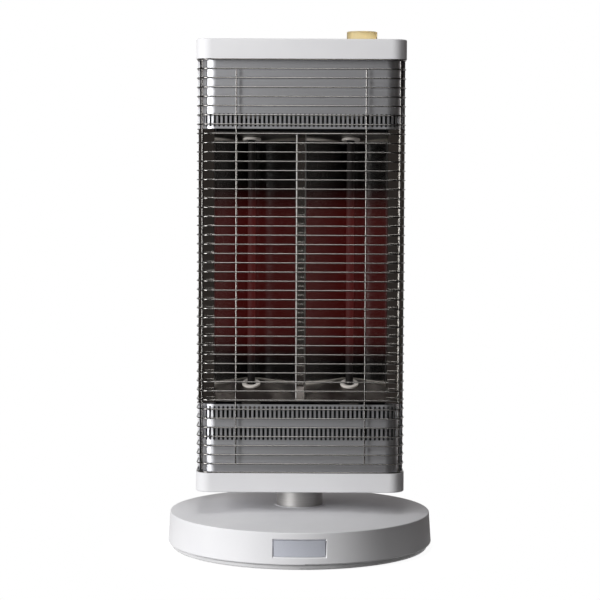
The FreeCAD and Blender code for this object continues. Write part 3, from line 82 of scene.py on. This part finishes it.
# Studio round the heater: its colours, and the shares of a direction over which each one comes in
WHITE = (1.0, 1.0, 1.0, 1.0)
FRONT_WALLS = (0.030, 0.026, 0.024, 1.0)
REAR_WALLS = (0.31, 0.28, 0.27, 1.0)
REAR_WALLS_SPAN = (0.25, 0.80)
CEILING = (0.10, 0.10, 0.105, 1.0)
CEILING_SPAN = (0.35, 0.95)
WHITE_BEHIND_SPAN = (0.65, 0.90)

# Paper under the heater
PAPER_RADIUS = 0.26
PAPER_SIDES = 96
PAPER_COLOUR = (0.30, 0.30, 0.30, 1.0)
PAPER_ROUGHNESS = 0.9
PAPER_FADE_START = 0.19
PAPER_GLOW = 0.94

# Glow of the rods: its heights along the heater, and its colour where it is full
GLOW_BOTTOM = 0.243
GLOW_FULL_LOW = 0.294
GLOW_FULL_HIGH = 0.432
GLOW_TOP = 0.487
NO_GLOW = (0.0, 0.0, 0.0, 1.0)
FULL_GLOW = (0.050, 0.0040, 0.0038, 1.0)

# Sheet round the rods: the dark and the light colour of its tarnish; the end plates' pair is also darkened
# all over as painted shade
GREY_TARNISH = ((0.70, 0.68, 0.655), (0.82, 0.80, 0.775))
END_PLATE_TARNISH_AND_SHADE = ((0.11, 0.10, 0.095), (0.17, 0.155, 0.145))

# Channel between the reflectors: its bright floor ends and its satin lips begin at these half widths
CHANNEL_FLOOR_END = 0.0049
CHANNEL_LIP_START = 0.0052
CHANNEL_FLOOR_ROUGHNESS = 0.07
CHANNEL_LIP_ROUGHNESS = 0.37

# Rounded edges of bent sheet and mouldings: their widths, and the least angle in degrees that is rounded
EDGE_WIDTHS = {
    "centre_divider": 0.0004,
    "left_side_shield": 0.0005,
    "right_side_shield": 0.0005,
    "foot_button": 0.0006,
    "switch_housing": 0.0004,
}
EDGE_SEGMENTS = 2
EDGE_ANGLE = 8.0

# Ceramic rings on the end plates
RING_RADIUS = 0.0120
RING_BORE_RADIUS = 0.0067
RING_HEIGHT = 0.0035
RING_EDGE_RADIUS = 0.0012
END_PLATE_THICKNESS = 0.001

# Coil springs
SPRING_WIRE_RADIUS = 0.0004
SPRING_TURNS = 7
SPRING_STEPS_PER_TURN = 28
SPRING_WIRE_SIDES = 8


# Node helpers


def add_node(tree, kind, values=None, **settings):
    """A new node with its settings, and with constants on the sockets named in values."""
    made = tree.nodes.new(kind)
    for name, setting in settings.items():
        setattr(made, name, setting)
    for name, number in (values or {}).items():
        made.inputs[name].default_value = number
    return made


def new_material(name, **constants):
    """A material with one Principled shader whose sockets hold the given constants."""
    material = bpy.data.materials.new(name)
    material.use_nodes = True
    tree = material.node_tree
    shader = tree.nodes["Principled BSDF"]
    for socket, number in constants.items():
        shader.inputs[socket.replace("_", " ").title().replace("Ior", "IOR")].default_value = number
    return material, tree, shader


def place_in_metres(tree, stretch=(1.0, 1.0, 1.0)):
    """The point on the piece in metres, stretched along its axes."""
    point = add_node(tree, "ShaderNodeTexCoord")
    mapping = add_node(tree, "ShaderNodeMapping", {"Scale": stretch})
    tree.links.new(point.outputs["Object"], mapping.inputs["Vector"])
    return mapping.outputs["Vector"]


def place_along(tree, axis):
    """The point on the piece in metres along one axis."""
    point = add_node(tree, "ShaderNodeSeparateXYZ")
    tree.links.new(place_in_metres(tree), point.inputs["Vector"])
    return point.outputs[axis]


def noise(tree, scale, detail=3.0, stretch=(1.0, 1.0, 1.0)):
    """Soft noise fixed to the piece, with scale waves to the metre."""
    made = add_node(tree, "ShaderNodeTexNoise", {"Scale": scale, "Detail": detail})
    tree.links.new(place_in_metres(tree, stretch), made.inputs["Vector"])
    return made.outputs["Fac"]


def remap(tree, amount, low, high, new_low, new_high, smooth=False):
    """An amount between low and high, brought to the range from new_low to new_high."""
    made = add_node(tree, "ShaderNodeMapRange", {
        "From Min": low, "From Max": high, "To Min": new_low, "To Max": new_high,
    })
    if smooth:
        made.interpolation_type = "SMOOTHSTEP"
    tree.links.new(amount, made.inputs["Value"])
    return made.outputs["Result"]


def combine(tree, operation, *amounts):
    """The result of a mathematical operation on one or two amounts."""
    made = add_node(tree, "ShaderNodeMath", operation=operation)
    for position, amount in enumerate(amounts):
        tree.links.new(amount, made.inputs[position])
    return made.outputs["Value"]


def colour_from(tree, shader, amount, dark, light, low=0.3, high=0.7):
    """Base colour that runs from dark to light as the amount goes from low to high."""
    ramp = add_node(tree, "ShaderNodeValToRGB")
    ramp.color_ramp.elements[0].position = low
    ramp.color_ramp.elements[0].color = (*dark, 1.0)
    ramp.color_ramp.elements[1].position = high
    ramp.color_ramp.elements[1].color = (*light, 1.0)
    tree.links.new(amount, ramp.inputs["Fac"])
    tree.links.new(ramp.outputs["Color"], shader.inputs["Base Color"])


def roughness_from(tree, shader, amount, smooth, rough, low=0.3, high=0.7):
    """Roughness that runs from smooth to rough as the amount goes from low to high."""
    tree.links.new(remap(tree, amount, low, high, smooth, rough), shader.inputs["Roughness"])


def bump_from(tree, shader, height, depth, strength=1.0):
    """Relief of the given depth in metres."""
    bump = add_node(tree, "ShaderNodeBump", {"Strength": strength, "Distance": depth})
    tree.links.new(height, bump.inputs["Height"])
    tree.links.new(bump.outputs["Normal"], shader.inputs["Normal"])


# Materials, one for each slot of the record, and three more for single pieces


def white_plastic():
    """Satin white moulding with a very fine spark texture."""
    material, tree, shader = new_material("white_plastic", ior=1.48)
    colour_from(tree, shader, noise(tree, scale=14.0), dark=(0.78, 0.78, 0.80), light=(0.82, 0.82, 0.835))
    grain = noise(tree, scale=1400.0, detail=2.0)
    roughness_from(tree, shader, grain, smooth=0.60, rough=0.72)
    bump_from(tree, shader, grain, depth=0.00004, strength=0.5)
    return material


def plate_steel():
    """Light grey painted steel with a slight orange peel."""
    material, tree, shader = new_material("plate_steel")
    colour_from(tree, shader, noise(tree, scale=30.0), dark=(0.64, 0.64, 0.65), light=(0.72, 0.72, 0.73))
    peel = noise(tree, scale=420.0)
    roughness_from(tree, shader, peel, smooth=0.34, rough=0.5)
    bump_from(tree, shader, peel, depth=0.00008, strength=0.5)
    return material


def foot_rubber():
    """Dull black rubber with a fine grain."""
    material, tree, shader = new_material("foot_rubber")
    grain = noise(tree, scale=900.0)
    colour_from(tree, shader, grain, dark=(0.016, 0.016, 0.017), light=(0.034, 0.034, 0.035))
    roughness_from(tree, shader, grain, smooth=0.62, rough=0.85)
    bump_from(tree, shader, grain, depth=0.00012)
    return material


def fastener_steel():
    """Zinc-plated steel with fine turning marks and a faint yellow cast."""
    material, tree, shader = new_material("fastener_steel", metallic=1.0)
    colour_from(tree, shader, noise(tree, scale=260.0), dark=(0.56, 0.55, 0.52), light=(0.72, 0.71, 0.68))
    marks = noise(tree, scale=1800.0, stretch=(1.0, 1.0, 0.2))
    roughness_from(tree, shader, marks, smooth=0.22, rough=0.42)
    bump_from(tree, shader, marks, depth=0.00002, strength=0.6)
    return material


def cast_aluminium():
    """Grey cast skin, slightly pitted."""
    material, tree, shader = new_material("cast_aluminium", metallic=1.0)
    skin = noise(tree, scale=650.0, detail=5.0)
    colour_from(tree, shader, skin, dark=(0.46, 0.46, 0.47), light=(0.62, 0.62, 0.63))
    roughness_from(tree, shader, skin, smooth=0.42, rough=0.66)
    bump_from(tree, shader, skin, depth=0.00018)
    return material


def bearing_plastic():
    """Milky acetal, waxy and slightly see-through."""
    material, tree, shader = new_material(
        "bearing_plastic", ior=1.48,
        subsurface_weight=0.12, subsurface_scale=0.002, subsurface_radius=(1.0, 0.9, 0.75),
    )
    colour_from(tree, shader, noise(tree, scale=80.0), dark=(0.72, 0.70, 0.64), light=(0.80, 0.78, 0.72))
    roughness_from(tree, shader, noise(tree, scale=700.0), smooth=0.3, rough=0.44)
    return material


def motor_steel():
    """Drawn steel can with lines that run round it."""
    material, tree, shader = new_material("motor_steel", metallic=1.0)
    brushed = noise(tree, scale=500.0, stretch=(1.0, 1.0, 7.0))
    colour_from(tree, shader, brushed, dark=(0.42, 0.42, 0.42), light=(0.56, 0.56, 0.55))
    roughness_from(tree, shader, brushed, smooth=0.3, rough=0.46)
    bump_from(tree, shader, brushed, depth=0.00003, strength=0.5)
    return material


def black_plastic():
    """Black moulding with a fine grain."""
    material, tree, shader = new_material("black_plastic", ior=1.5)
    mottle = noise(tree, scale=60.0)
    grain = noise(tree, scale=1100.0)
    colour_from(tree, shader, mottle, dark=(0.018, 0.018, 0.019), light=(0.030, 0.030, 0.031))
    roughness_from(tree, shader, grain, smooth=0.38, rough=0.56)
    bump_from(tree, shader, grain, depth=0.00006, strength=0.6)
    return material


def spring_steel():
    """Bright drawn spring wire."""
    material, tree, shader = new_material("spring_steel", metallic=1.0)
    drawn = noise(tree, scale=1500.0)
    colour_from(tree, shader, drawn, dark=(0.48, 0.47, 0.45), light=(0.66, 0.65, 0.62))
    roughness_from(tree, shader, drawn, smooth=0.2, rough=0.36)
    return material


def silver_plastic():
    """Blue-grey silver paint with fine flakes on the foot button."""
    material, tree, shader = new_material("silver_plastic", metallic=0.15, ior=1.5)
    flakes = noise(tree, scale=2600.0, detail=1.0)
    colour_from(tree, shader, flakes, dark=(0.54, 0.56, 0.63), light=(0.64, 0.66, 0.73))
    roughness_from(tree, shader, flakes, smooth=0.34, rough=0.46)
    bump_from(tree, shader, flakes, depth=0.00001, strength=0.5)
    return material


def post_aluminium():
    """Turned and brushed tube: fine lines that run round it."""
    material, tree, shader = new_material("post_aluminium", metallic=1.0, anisotropic=0.5)
    brushed = noise(tree, scale=900.0, detail=4.0, stretch=(0.03, 0.03, 1.6))
    colour_from(tree, shader, brushed, dark=(0.46, 0.45, 0.44), light=(0.57, 0.56, 0.55))
    roughness_from(tree, shader, brushed, smooth=0.42, rough=0.54)
    bump_from(tree, shader, brushed, depth=0.00002, strength=0.5)
    return material


def zinc_sheet():
    """Galvanised sheet of the frame, painted nearly black as shade for the dark inside of the case, with a
    soft spangle.
    """
    material, tree, shader = new_material("zinc_sheet", metallic=1.0)
    spangle = add_node(tree, "ShaderNodeTexVoronoi", {"Scale": 120.0, "Randomness": 1.0})
    tree.links.new(place_in_metres(tree), spangle.inputs["Vector"])
    cells = add_node(tree, "ShaderNodeSeparateColor")
    tree.links.new(spangle.outputs["Color"], cells.inputs["Color"])
    # Near-black colours: painted shade standing in for the dark inside of the case
    colour_from(tree, shader, cells.outputs["Red"], dark=(0.055, 0.057, 0.060), light=(0.09, 0.093, 0.098),
                low=0.0, high=1.0)
    roughness_from(tree, shader, cells.outputs["Green"], smooth=0.34, rough=0.52, low=0.0, high=1.0)
    return material


def silver_sheet():
    """Satin silver sheet of the slotted panels, with a fine level grain."""
    material, tree, shader = new_material("silver_sheet", metallic=1.0)
    grain = noise(tree, scale=1600.0, detail=2.0, stretch=(0.25, 0.25, 1.0))
    colour_from(tree, shader, grain, dark=(0.62, 0.625, 0.65), light=(0.66, 0.665, 0.69))
    roughness_from(tree, shader, grain, smooth=0.46, rough=0.52)
    bump_from(tree, shader, grain, depth=0.00001, strength=0.4)
    return material


def polished_sheet():
    """Bright rolled reflector sheet, with the slight waves that thin sheet has."""
    material, tree, shader = new_material("polished_sheet", metallic=1.0)
    colour_from(tree, shader, noise(tree, scale=40.0), dark=(0.62, 0.61, 0.59), light=(0.69, 0.68, 0.66))
    roughness_from(tree, shader, noise(tree, scale=300.0), smooth=0.07, rough=0.13)
    bump_from(tree, shader, noise(tree, scale=16.0, detail=1.0), depth=0.0006, strength=0.5)
    return material


def tarnished_sheet(name, dark, light):
    """Thin rolled sheet with slight waves, tarnished in patches by heat."""
    material, tree, shader = new_material(name, metallic=1.0)
    tarnish = noise(tree, scale=60.0, detail=5.0)
    colour_from(tree, shader, tarnish, dark, light)
    bump_from(tree, shader, noise(tree, scale=24.0, detail=1.0), depth=0.0005, strength=0.5)
    return material, tree, shader, tarnish


def grey_sheet():
    """Bright sheet greyed by heat, at the sides of the opening."""
    material, tree, shader, tarnish = tarnished_sheet("grey_sheet", *GREY_TARNISH)
    roughness_from(tree, shader, tarnish, smooth=0.05, rough=0.11)
    return material


def channel_sheet():
    """The same sheet in the channel between the reflectors: a bright floor between satin lips."""
    material, tree, shader, _ = tarnished_sheet("channel_sheet", *GREY_TARNISH)
    off_centre = combine(tree, "ABSOLUTE", place_along(tree, "X"))
    roughness_from(tree, shader, off_centre, CHANNEL_FLOOR_ROUGHNESS, CHANNEL_LIP_ROUGHNESS,
                   low=CHANNEL_FLOOR_END, high=CHANNEL_LIP_START)
    return material


def tarnish_and_shade_end_sheet():
    """Sheet of the end plates, painted dark brown all over as shade so that it shows little of the overhead
    light, with patches of tarnish.
    """
    material, tree, shader, tarnish = tarnished_sheet("tarnish_and_shade_end_sheet", *END_PLATE_TARNISH_AND_SHADE)
    roughness_from(tree, shader, tarnish, smooth=0.34, rough=0.46)
    return material


def heater_sheath():
    """Oxidised sheath, dark all over, with a dull red glow in its middle."""
    material, tree, shader = new_material("heater_sheath", specular_ior_level=0.15, emission_strength=1.0)
    oxide = noise(tree, scale=380.0, detail=5.0)
    colour_from(tree, shader, oxide, dark=(0.006, 0.005, 0.005), light=(0.014, 0.012, 0.011))
    roughness_from(tree, shader, oxide, smooth=0.55, rough=0.8)
    bump_from(tree, shader, oxide, depth=0.00012, strength=0.6)
    height = place_along(tree, "Z")
    rise = remap(tree, height, GLOW_BOTTOM, GLOW_FULL_LOW, 0.0, 1.0, smooth=True)
    fall = remap(tree, height, GLOW_FULL_HIGH, GLOW_TOP, 1.0, 0.0, smooth=True)
    glow = add_node(tree, "ShaderNodeValToRGB")
    glow.color_ramp.elements[0].color = NO_GLOW
    glow.color_ramp.elements[1].color = FULL_GLOW
    tree.links.new(combine(tree, "MULTIPLY", rise, fall), glow.inputs["Fac"])
    tree.links.new(glow.outputs["Color"], shader.inputs["Emission Color"])
    return material


def pale_ceramic():
    """Unglazed steatite, slightly chalky."""
    material, tree, shader = new_material("pale_ceramic", ior=1.55)
    chalk = noise(tree, scale=900.0, detail=5.0)
    colour_from(tree, shader, noise(tree, scale=120.0), dark=(0.62, 0.58, 0.54), light=(0.74, 0.70, 0.66))
    roughness_from(tree, shader, chalk, smooth=0.5, rough=0.7)
    bump_from(tree, shader, chalk, depth=0.00006, strength=0.6)
    return material


def shade_darkened_ceramic():
    """The same ceramic, painted dark brown as shade, on the holders behind the panels."""
    material, tree, shader = new_material("shade_darkened_ceramic", ior=1.55)
    # Dark brown colours: painted shade on the holders behind the panels
    colour_from(tree, shader, noise(tree, scale=120.0), dark=(0.17, 0.15, 0.135), light=(0.24, 0.22, 0.20))
    roughness_from(tree, shader, noise(tree, scale=900.0, detail=5.0), smooth=0.6, rough=0.8)
    return material


def guard_wire():
    """Drawn stainless wire, painted darker than bare steel as shade so that its highlights stay dim, with
    faint draw marks.
    """
    material, tree, shader = new_material("guard_wire", metallic=1.0)
    drawn = noise(tree, scale=800.0, stretch=(0.2, 1.0, 1.0))
    # Colours well below bare steel: painted shade on the wire
    colour_from(tree, shader, drawn, dark=(0.21, 0.203, 0.194), light=(0.27, 0.261, 0.249))
    roughness_from(tree, shader, drawn, smooth=0.16, rough=0.24)
    return material


def gold_plastic():
    """Cloudy champagne-gold plastic of the dial, which lets light through."""
    material, tree, shader = new_material("gold_plastic", transmission_weight=0.75, ior=1.3)
    flakes = noise(tree, scale=2400.0, detail=1.0)
    colour_from(tree, shader, flakes, dark=(0.98, 0.79, 0.41), light=(0.99, 0.84, 0.48))
    roughness_from(tree, shader, flakes, smooth=0.42, rough=0.54)
    bump_from(tree, shader, flakes, depth=0.00001, strength=0.5)
    return material


def board_laminate():
    """Green circuit board with a faint weave."""
    material, tree, shader = new_material("board_laminate", ior=1.5)
    weave = noise(tree, scale=900.0, stretch=(1.0, 4.0, 1.0))
    colour_from(tree, shader, weave, dark=(0.010, 0.060, 0.022), light=(0.018, 0.100, 0.036))
    roughness_from(tree, shader, weave, smooth=0.28, rough=0.42)
    bump_from(tree, shader, weave, depth=0.00003, strength=0.6)
    return material


def standoff_brass():
    """Turned brass."""
    material, tree, shader = new_material("standoff_brass", metallic=1.0)
    turned = noise(tree, scale=1500.0, stretch=(0.2, 0.2, 1.0))
    colour_from(tree, shader, turned, dark=(0.60, 0.44, 0.18), light=(0.74, 0.56, 0.26))
    roughness_from(tree, shader, turned, smooth=0.22, rough=0.38)
    return material


LOOKS = {make.__name__: make() for make in (
    white_plastic, plate_steel, foot_rubber, fastener_steel, cast_aluminium, bearing_plastic, motor_steel,
    black_plastic, spring_steel, silver_plastic, post_aluminium, zinc_sheet, silver_sheet, polished_sheet,
    grey_sheet, channel_sheet, tarnish_and_shade_end_sheet, heater_sheath, pale_ceramic, shade_darkened_ceramic, guard_wire,
    gold_plastic, board_laminate, standoff_brass,
)}

# Pieces whose own look differs from the rest of their slot
NODE_LOOKS = {
    # End plates: a look darkened all over as painted shade
    "lower_end_plate": "tarnish_and_shade_end_sheet",
    "upper_end_plate": "tarnish_and_shade_end_sheet",
    "centre_divider": "channel_sheet",
    # Heater holders: a look darkened as painted shade
    "heater_holders": "shade_darkened_ceramic",
}


def dress_cad_nodes():
    """Give every carried-over solid the material of its slot, or its own."""
    for row in frame["record"]["subparts"]:
        mesh = frame["nodes"][row["node"]].data
        mesh.materials.clear()
        mesh.materials.append(LOOKS[NODE_LOOKS.get(row["node"], row["material_slot"])])


def soften_edges():
    """Small rounded edges where bent sheet and mouldings catch the light."""
    for node, width in EDGE_WIDTHS.items():
        bevel = frame["nodes"][node].modifiers.new("rounded_edges", "BEVEL")
        bevel.width = width
        bevel.segments = EDGE_SEGMENTS
        bevel.limit_method = "ANGLE"
        bevel.angle_limit = math.radians(EDGE_ANGLE)
        bevel.harden_normals = True


# Detailed pieces


def new_piece(name, mesh_builder, slot, body):
    """A mesh piece that takes its finish from a slot and moves with a body, if one is given."""
    mesh = bpy.data.meshes.new(name)
    mesh_builder.to_mesh(mesh)
    mesh_builder.free()
    mesh.materials.append(LOOKS[slot])
    mesh.shade_smooth()
    piece = bpy.data.objects.new(name, mesh)
    bpy.context.scene.collection.objects.link(piece)
    if body:
        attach(piece, body)
    return piece


def lathe(builder, profile, place, steps=64):
    """A closed profile of (radius, height) pairs turned round the Z axis of a place."""
    rings = []
    for step in range(steps):
        angle = 2 * math.pi * step / steps
        rings.append([
            builder.verts.new(place @ Vector((radius * math.cos(angle), radius * math.sin(angle), height)))
            for radius, height in profile
        ])
    for step in range(steps):
        here = rings[step]
        there = rings[(step + 1) % steps]
        for corner in range(len(profile)):
            follow = (corner + 1) % len(profile)
            builder.faces.new((here[corner], there[corner], there[follow], here[follow]))


def rounded_rectangle(inner, outer, bottom, top, radius, steps=5):
    """Profile of a ring with rounded edges, as (radius, height) pairs."""
    corners = (
        (outer - radius, bottom + radius, -90.0),
        (outer - radius, top - radius, 0.0),
        (inner + radius, top - radius, 90.0),
        (inner + radius, bottom + radius, 180.0),
    )
    profile = []
    for across, up, start in corners:
        for step in range(steps + 1):
            angle = math.radians(start + 90.0 * step / steps)
            profile.append((across + radius * math.cos(angle), up + radius * math.sin(angle)))
    return profile


def ceramic_rings():
    """Rounded ceramic rings that sit on the sloping end plates, one round each rod."""
    builder = bmesh.new()
    profile = rounded_rectangle(RING_BORE_RADIUS, RING_RADIUS, 0.0, RING_HEIGHT, RING_EDGE_RADIUS)
    for plate, up in (("lower_end_plate", 1), ("upper_end_plate", -1)):
        low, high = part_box(plate)
        run = high.y - low.y
        rise = up * (high.z - low.z - END_PLATE_THICKNESS)
        front_height = low.z + END_PLATE_THICKNESS if up > 0 else high.z - END_PLATE_THICKNESS
        normal = Vector((0.0, -rise, run)).normalized() * up
        for rod in ("left_heater", "right_heater"):
            rod_low, rod_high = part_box(rod)
            middle = (rod_low + rod_high) / 2
            seat_y = middle.y - normal.y * RING_HEIGHT / 2
            seat = Vector((middle.x, seat_y, front_height + rise * (seat_y - low.y) / run))
            place = Matrix.Translation(seat) @ normal.to_track_quat("Z", "Y").to_matrix().to_4x4()
            lathe(builder, profile, place)
    piece = new_piece("ceramic_rings", builder, "pale_ceramic", "head")
    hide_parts("heater_rings")


def coil_spring(builder, start, end, coil_radius):
    """A helix of round wire from start to end, whose first and last turns are closed up."""
    wire = SPRING_WIRE_RADIUS
    turns = SPRING_TURNS
    axis = end - start
    length = axis.length - 2 * wire
    place = Matrix.Translation(start) @ axis.to_track_quat("Z", "Y").to_matrix().to_4x4()
    steps = turns * SPRING_STEPS_PER_TURN
    rings = []
    for step in range(steps + 1):
        share = step / steps
        angle = 2 * math.pi * turns * share
        climb = min(max((share * turns - 1.0) / (turns - 2.0), 0.0), 1.0)
        first_turn = min(share * turns, 1.0)
        last_turn = min(max(share * turns - turns + 1.0, 0.0), 1.0)
        close = 2 * wire * (first_turn - 1.0 + last_turn)
        height = 3 * wire + climb * (length - 4 * wire) + close
        out = Vector((math.cos(angle), math.sin(angle), 0.0))
        ring = []
        for side in range(SPRING_WIRE_SIDES):
            turn = 2 * math.pi * side / SPRING_WIRE_SIDES
            point = out * (coil_radius - wire + wire * math.cos(turn))
            point.z = height + wire * math.sin(turn)
            ring.append(builder.verts.new(place @ point))
        rings.append(ring)
    for here, there in zip(rings, rings[1:]):
        for side in range(SPRING_WIRE_SIDES):
            follow = (side + 1) % SPRING_WIRE_SIDES
            builder.faces.new((here[side], here[follow], there[follow], there[side]))
    builder.faces.new(reversed(rings[0]))
    builder.faces.new(rings[-1])


def foot_button_springs():
    """The two coil springs behind the foot button, which shorten as it is pressed."""
    low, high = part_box("button_springs")
    coil_radius = (high.z - low.z) / 2
    height = (low.z + high.z) / 2
    builder = bmesh.new()
    for x in (low.x + coil_radius, high.x - coil_radius):
        coil_spring(builder, Vector((x, high.y, height)), Vector((x, low.y, height)), coil_radius)
    piece = new_piece("foot_button_coils", builder, "spring_steel", None)
    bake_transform(piece)
    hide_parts("button_springs")


def tip_switch_spring():
    """The coil spring that pushes the tip-over plunger down."""
    low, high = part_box("tip_spring")
    middle = (low + high) / 2
    top = Vector((middle.x, middle.y, high.z))
    bottom = Vector((middle.x, middle.y, low.z))
    builder = bmesh.new()
    coil_spring(builder, top, bottom, (high.x - low.x) / 2)
    piece = new_piece("tip_switch_coil", builder, "spring_steel", None)
    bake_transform(piece)
    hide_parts("tip_spring")


# Stage: floor, light and camera


def camera():
    """The camera, pitched down a little and rolled a touch, as the photograph is."""
    data = bpy.data.cameras.new("camera")
    data.lens = CAMERA_LENS
    data.sensor_width = CAMERA_SENSOR_WIDTH
    made = bpy.data.objects.new("camera", data)
    turn = Matrix.Rotation(math.radians(90.0 - CAMERA_PITCH), 4, "X")
    roll = Matrix.Rotation(math.radians(CAMERA_ROLL), 4, "Z")
    made.matrix_world = Matrix.Translation(CAMERA_PLACE) @ turn @ roll
    bpy.context.scene.collection.objects.link(made)
    bpy.context.scene.camera = made


def soft_box(name, place, target, width, height, power):
    """A white rectangular lamp that faces its target."""
    data = bpy.data.lights.new(name, "AREA")
    data.shape = "RECTANGLE"
    data.size = width
    data.size_y = height
    data.energy = power
    made = bpy.data.objects.new(name, data)
    direction = Vector(target) - Vector(place)
    made.matrix_world = Matrix.Translation(place) @ direction.to_track_quat("-Z", "Y").to_matrix().to_4x4()
    bpy.context.scene.collection.objects.link(made)


def background_rays(tree):
    """Two amounts: one for the camera's rays, and one for those of the camera, gloss and clear glass."""
    path = add_node(tree, "ShaderNodeLightPath")
    camera_ray = path.outputs["Is Camera Ray"]
    camera_or_gloss = combine(tree, "MAXIMUM", camera_ray, path.outputs["Is Glossy Ray"])
    return camera_ray, combine(tree, "MAXIMUM", camera_or_gloss, path.outputs["Is Transmission Ray"])


def studio_world():
    """A dim warm studio, paler behind and overhead, with a white background.

    The camera sees white all round. Gloss and clear glass see white behind the heater.
    """
    world = bpy.data.worlds.new("studio")
    bpy.context.scene.world = world
    world.use_nodes = True
    tree = world.node_tree
    point = add_node(tree, "ShaderNodeTexCoord")
    direction = add_node(tree, "ShaderNodeSeparateXYZ")
    tree.links.new(point.outputs["Generated"], direction.inputs["Vector"])
    backward = direction.outputs["Y"]
    upward = direction.outputs["Z"]

    walls = add_node(tree, "ShaderNodeMix", {"A": FRONT_WALLS, "B": REAR_WALLS}, data_type="RGBA")
    tree.links.new(remap(tree, backward, *REAR_WALLS_SPAN, 0.0, 1.0, smooth=True), walls.inputs["Factor"])

    room = add_node(tree, "ShaderNodeMix", {"B": CEILING}, data_type="RGBA")
    tree.links.new(remap(tree, upward, *CEILING_SPAN, 0.0, 1.0, smooth=True), room.inputs["Factor"])
    tree.links.new(walls.outputs["Result"], room.inputs["A"])

    camera_ray, background_ray = background_rays(tree)
    behind = remap(tree, backward, *WHITE_BEHIND_SPAN, 0.0, 1.0, smooth=True)
    white_behind = combine(tree, "MULTIPLY", background_ray, behind)
    studio = add_node(tree, "ShaderNodeMix", {"B": WHITE}, data_type="RGBA")
    tree.links.new(combine(tree, "MAXIMUM", camera_ray, white_behind), studio.inputs["Factor"])
    tree.links.new(room.outputs["Result"], studio.inputs["A"])
    tree.links.new(studio.outputs["Result"], tree.nodes["Background"].inputs["Color"])


def paper():
    """White paper that keeps a faint shadow and fades to pure white at its edge."""
    material, tree, shader = new_material(
        "paper", base_color=PAPER_COLOUR, emission_color=WHITE,
        roughness=PAPER_ROUGHNESS, specular_ior_level=0.0,
    )
    reach = add_node(tree, "ShaderNodeVectorMath", operation="LENGTH")
    tree.links.new(place_in_metres(tree), reach.inputs[0])
    glow = remap(tree, reach.outputs["Value"], PAPER_FADE_START, PAPER_RADIUS, PAPER_GLOW, 1.0, smooth=True)
    _, background_ray = background_rays(tree)
    tree.links.new(combine(tree, "MULTIPLY", glow, background_ray), shader.inputs["Emission Strength"])
    return material


def floor():
    """A round sheet of paper under the heater."""
    builder = bmesh.new()
    bmesh.ops.create_circle(builder, cap_ends=True, segments=PAPER_SIDES, radius=PAPER_RADIUS)
    mesh = bpy.data.meshes.new("floor")
    builder.to_mesh(mesh)
    builder.free()
    mesh.materials.append(paper())
    made = bpy.data.objects.new("floor", mesh)
    bpy.context.scene.collection.objects.link(made)


bpy.context.scene.view_settings.view_transform = "Standard"

camera()
studio_world()
floor()
soft_box("key_light", KEY_PLACE, KEY_TARGET, KEY_WIDTH, KEY_HEIGHT, KEY_POWER)
soft_box("fill_light", FILL_PLACE, FILL_TARGET, FILL_WIDTH, FILL_HEIGHT, FILL_POWER)

dress_cad_nodes()
soften_edges()
ceramic_rings()
foot_button_springs()
tip_switch_spring()
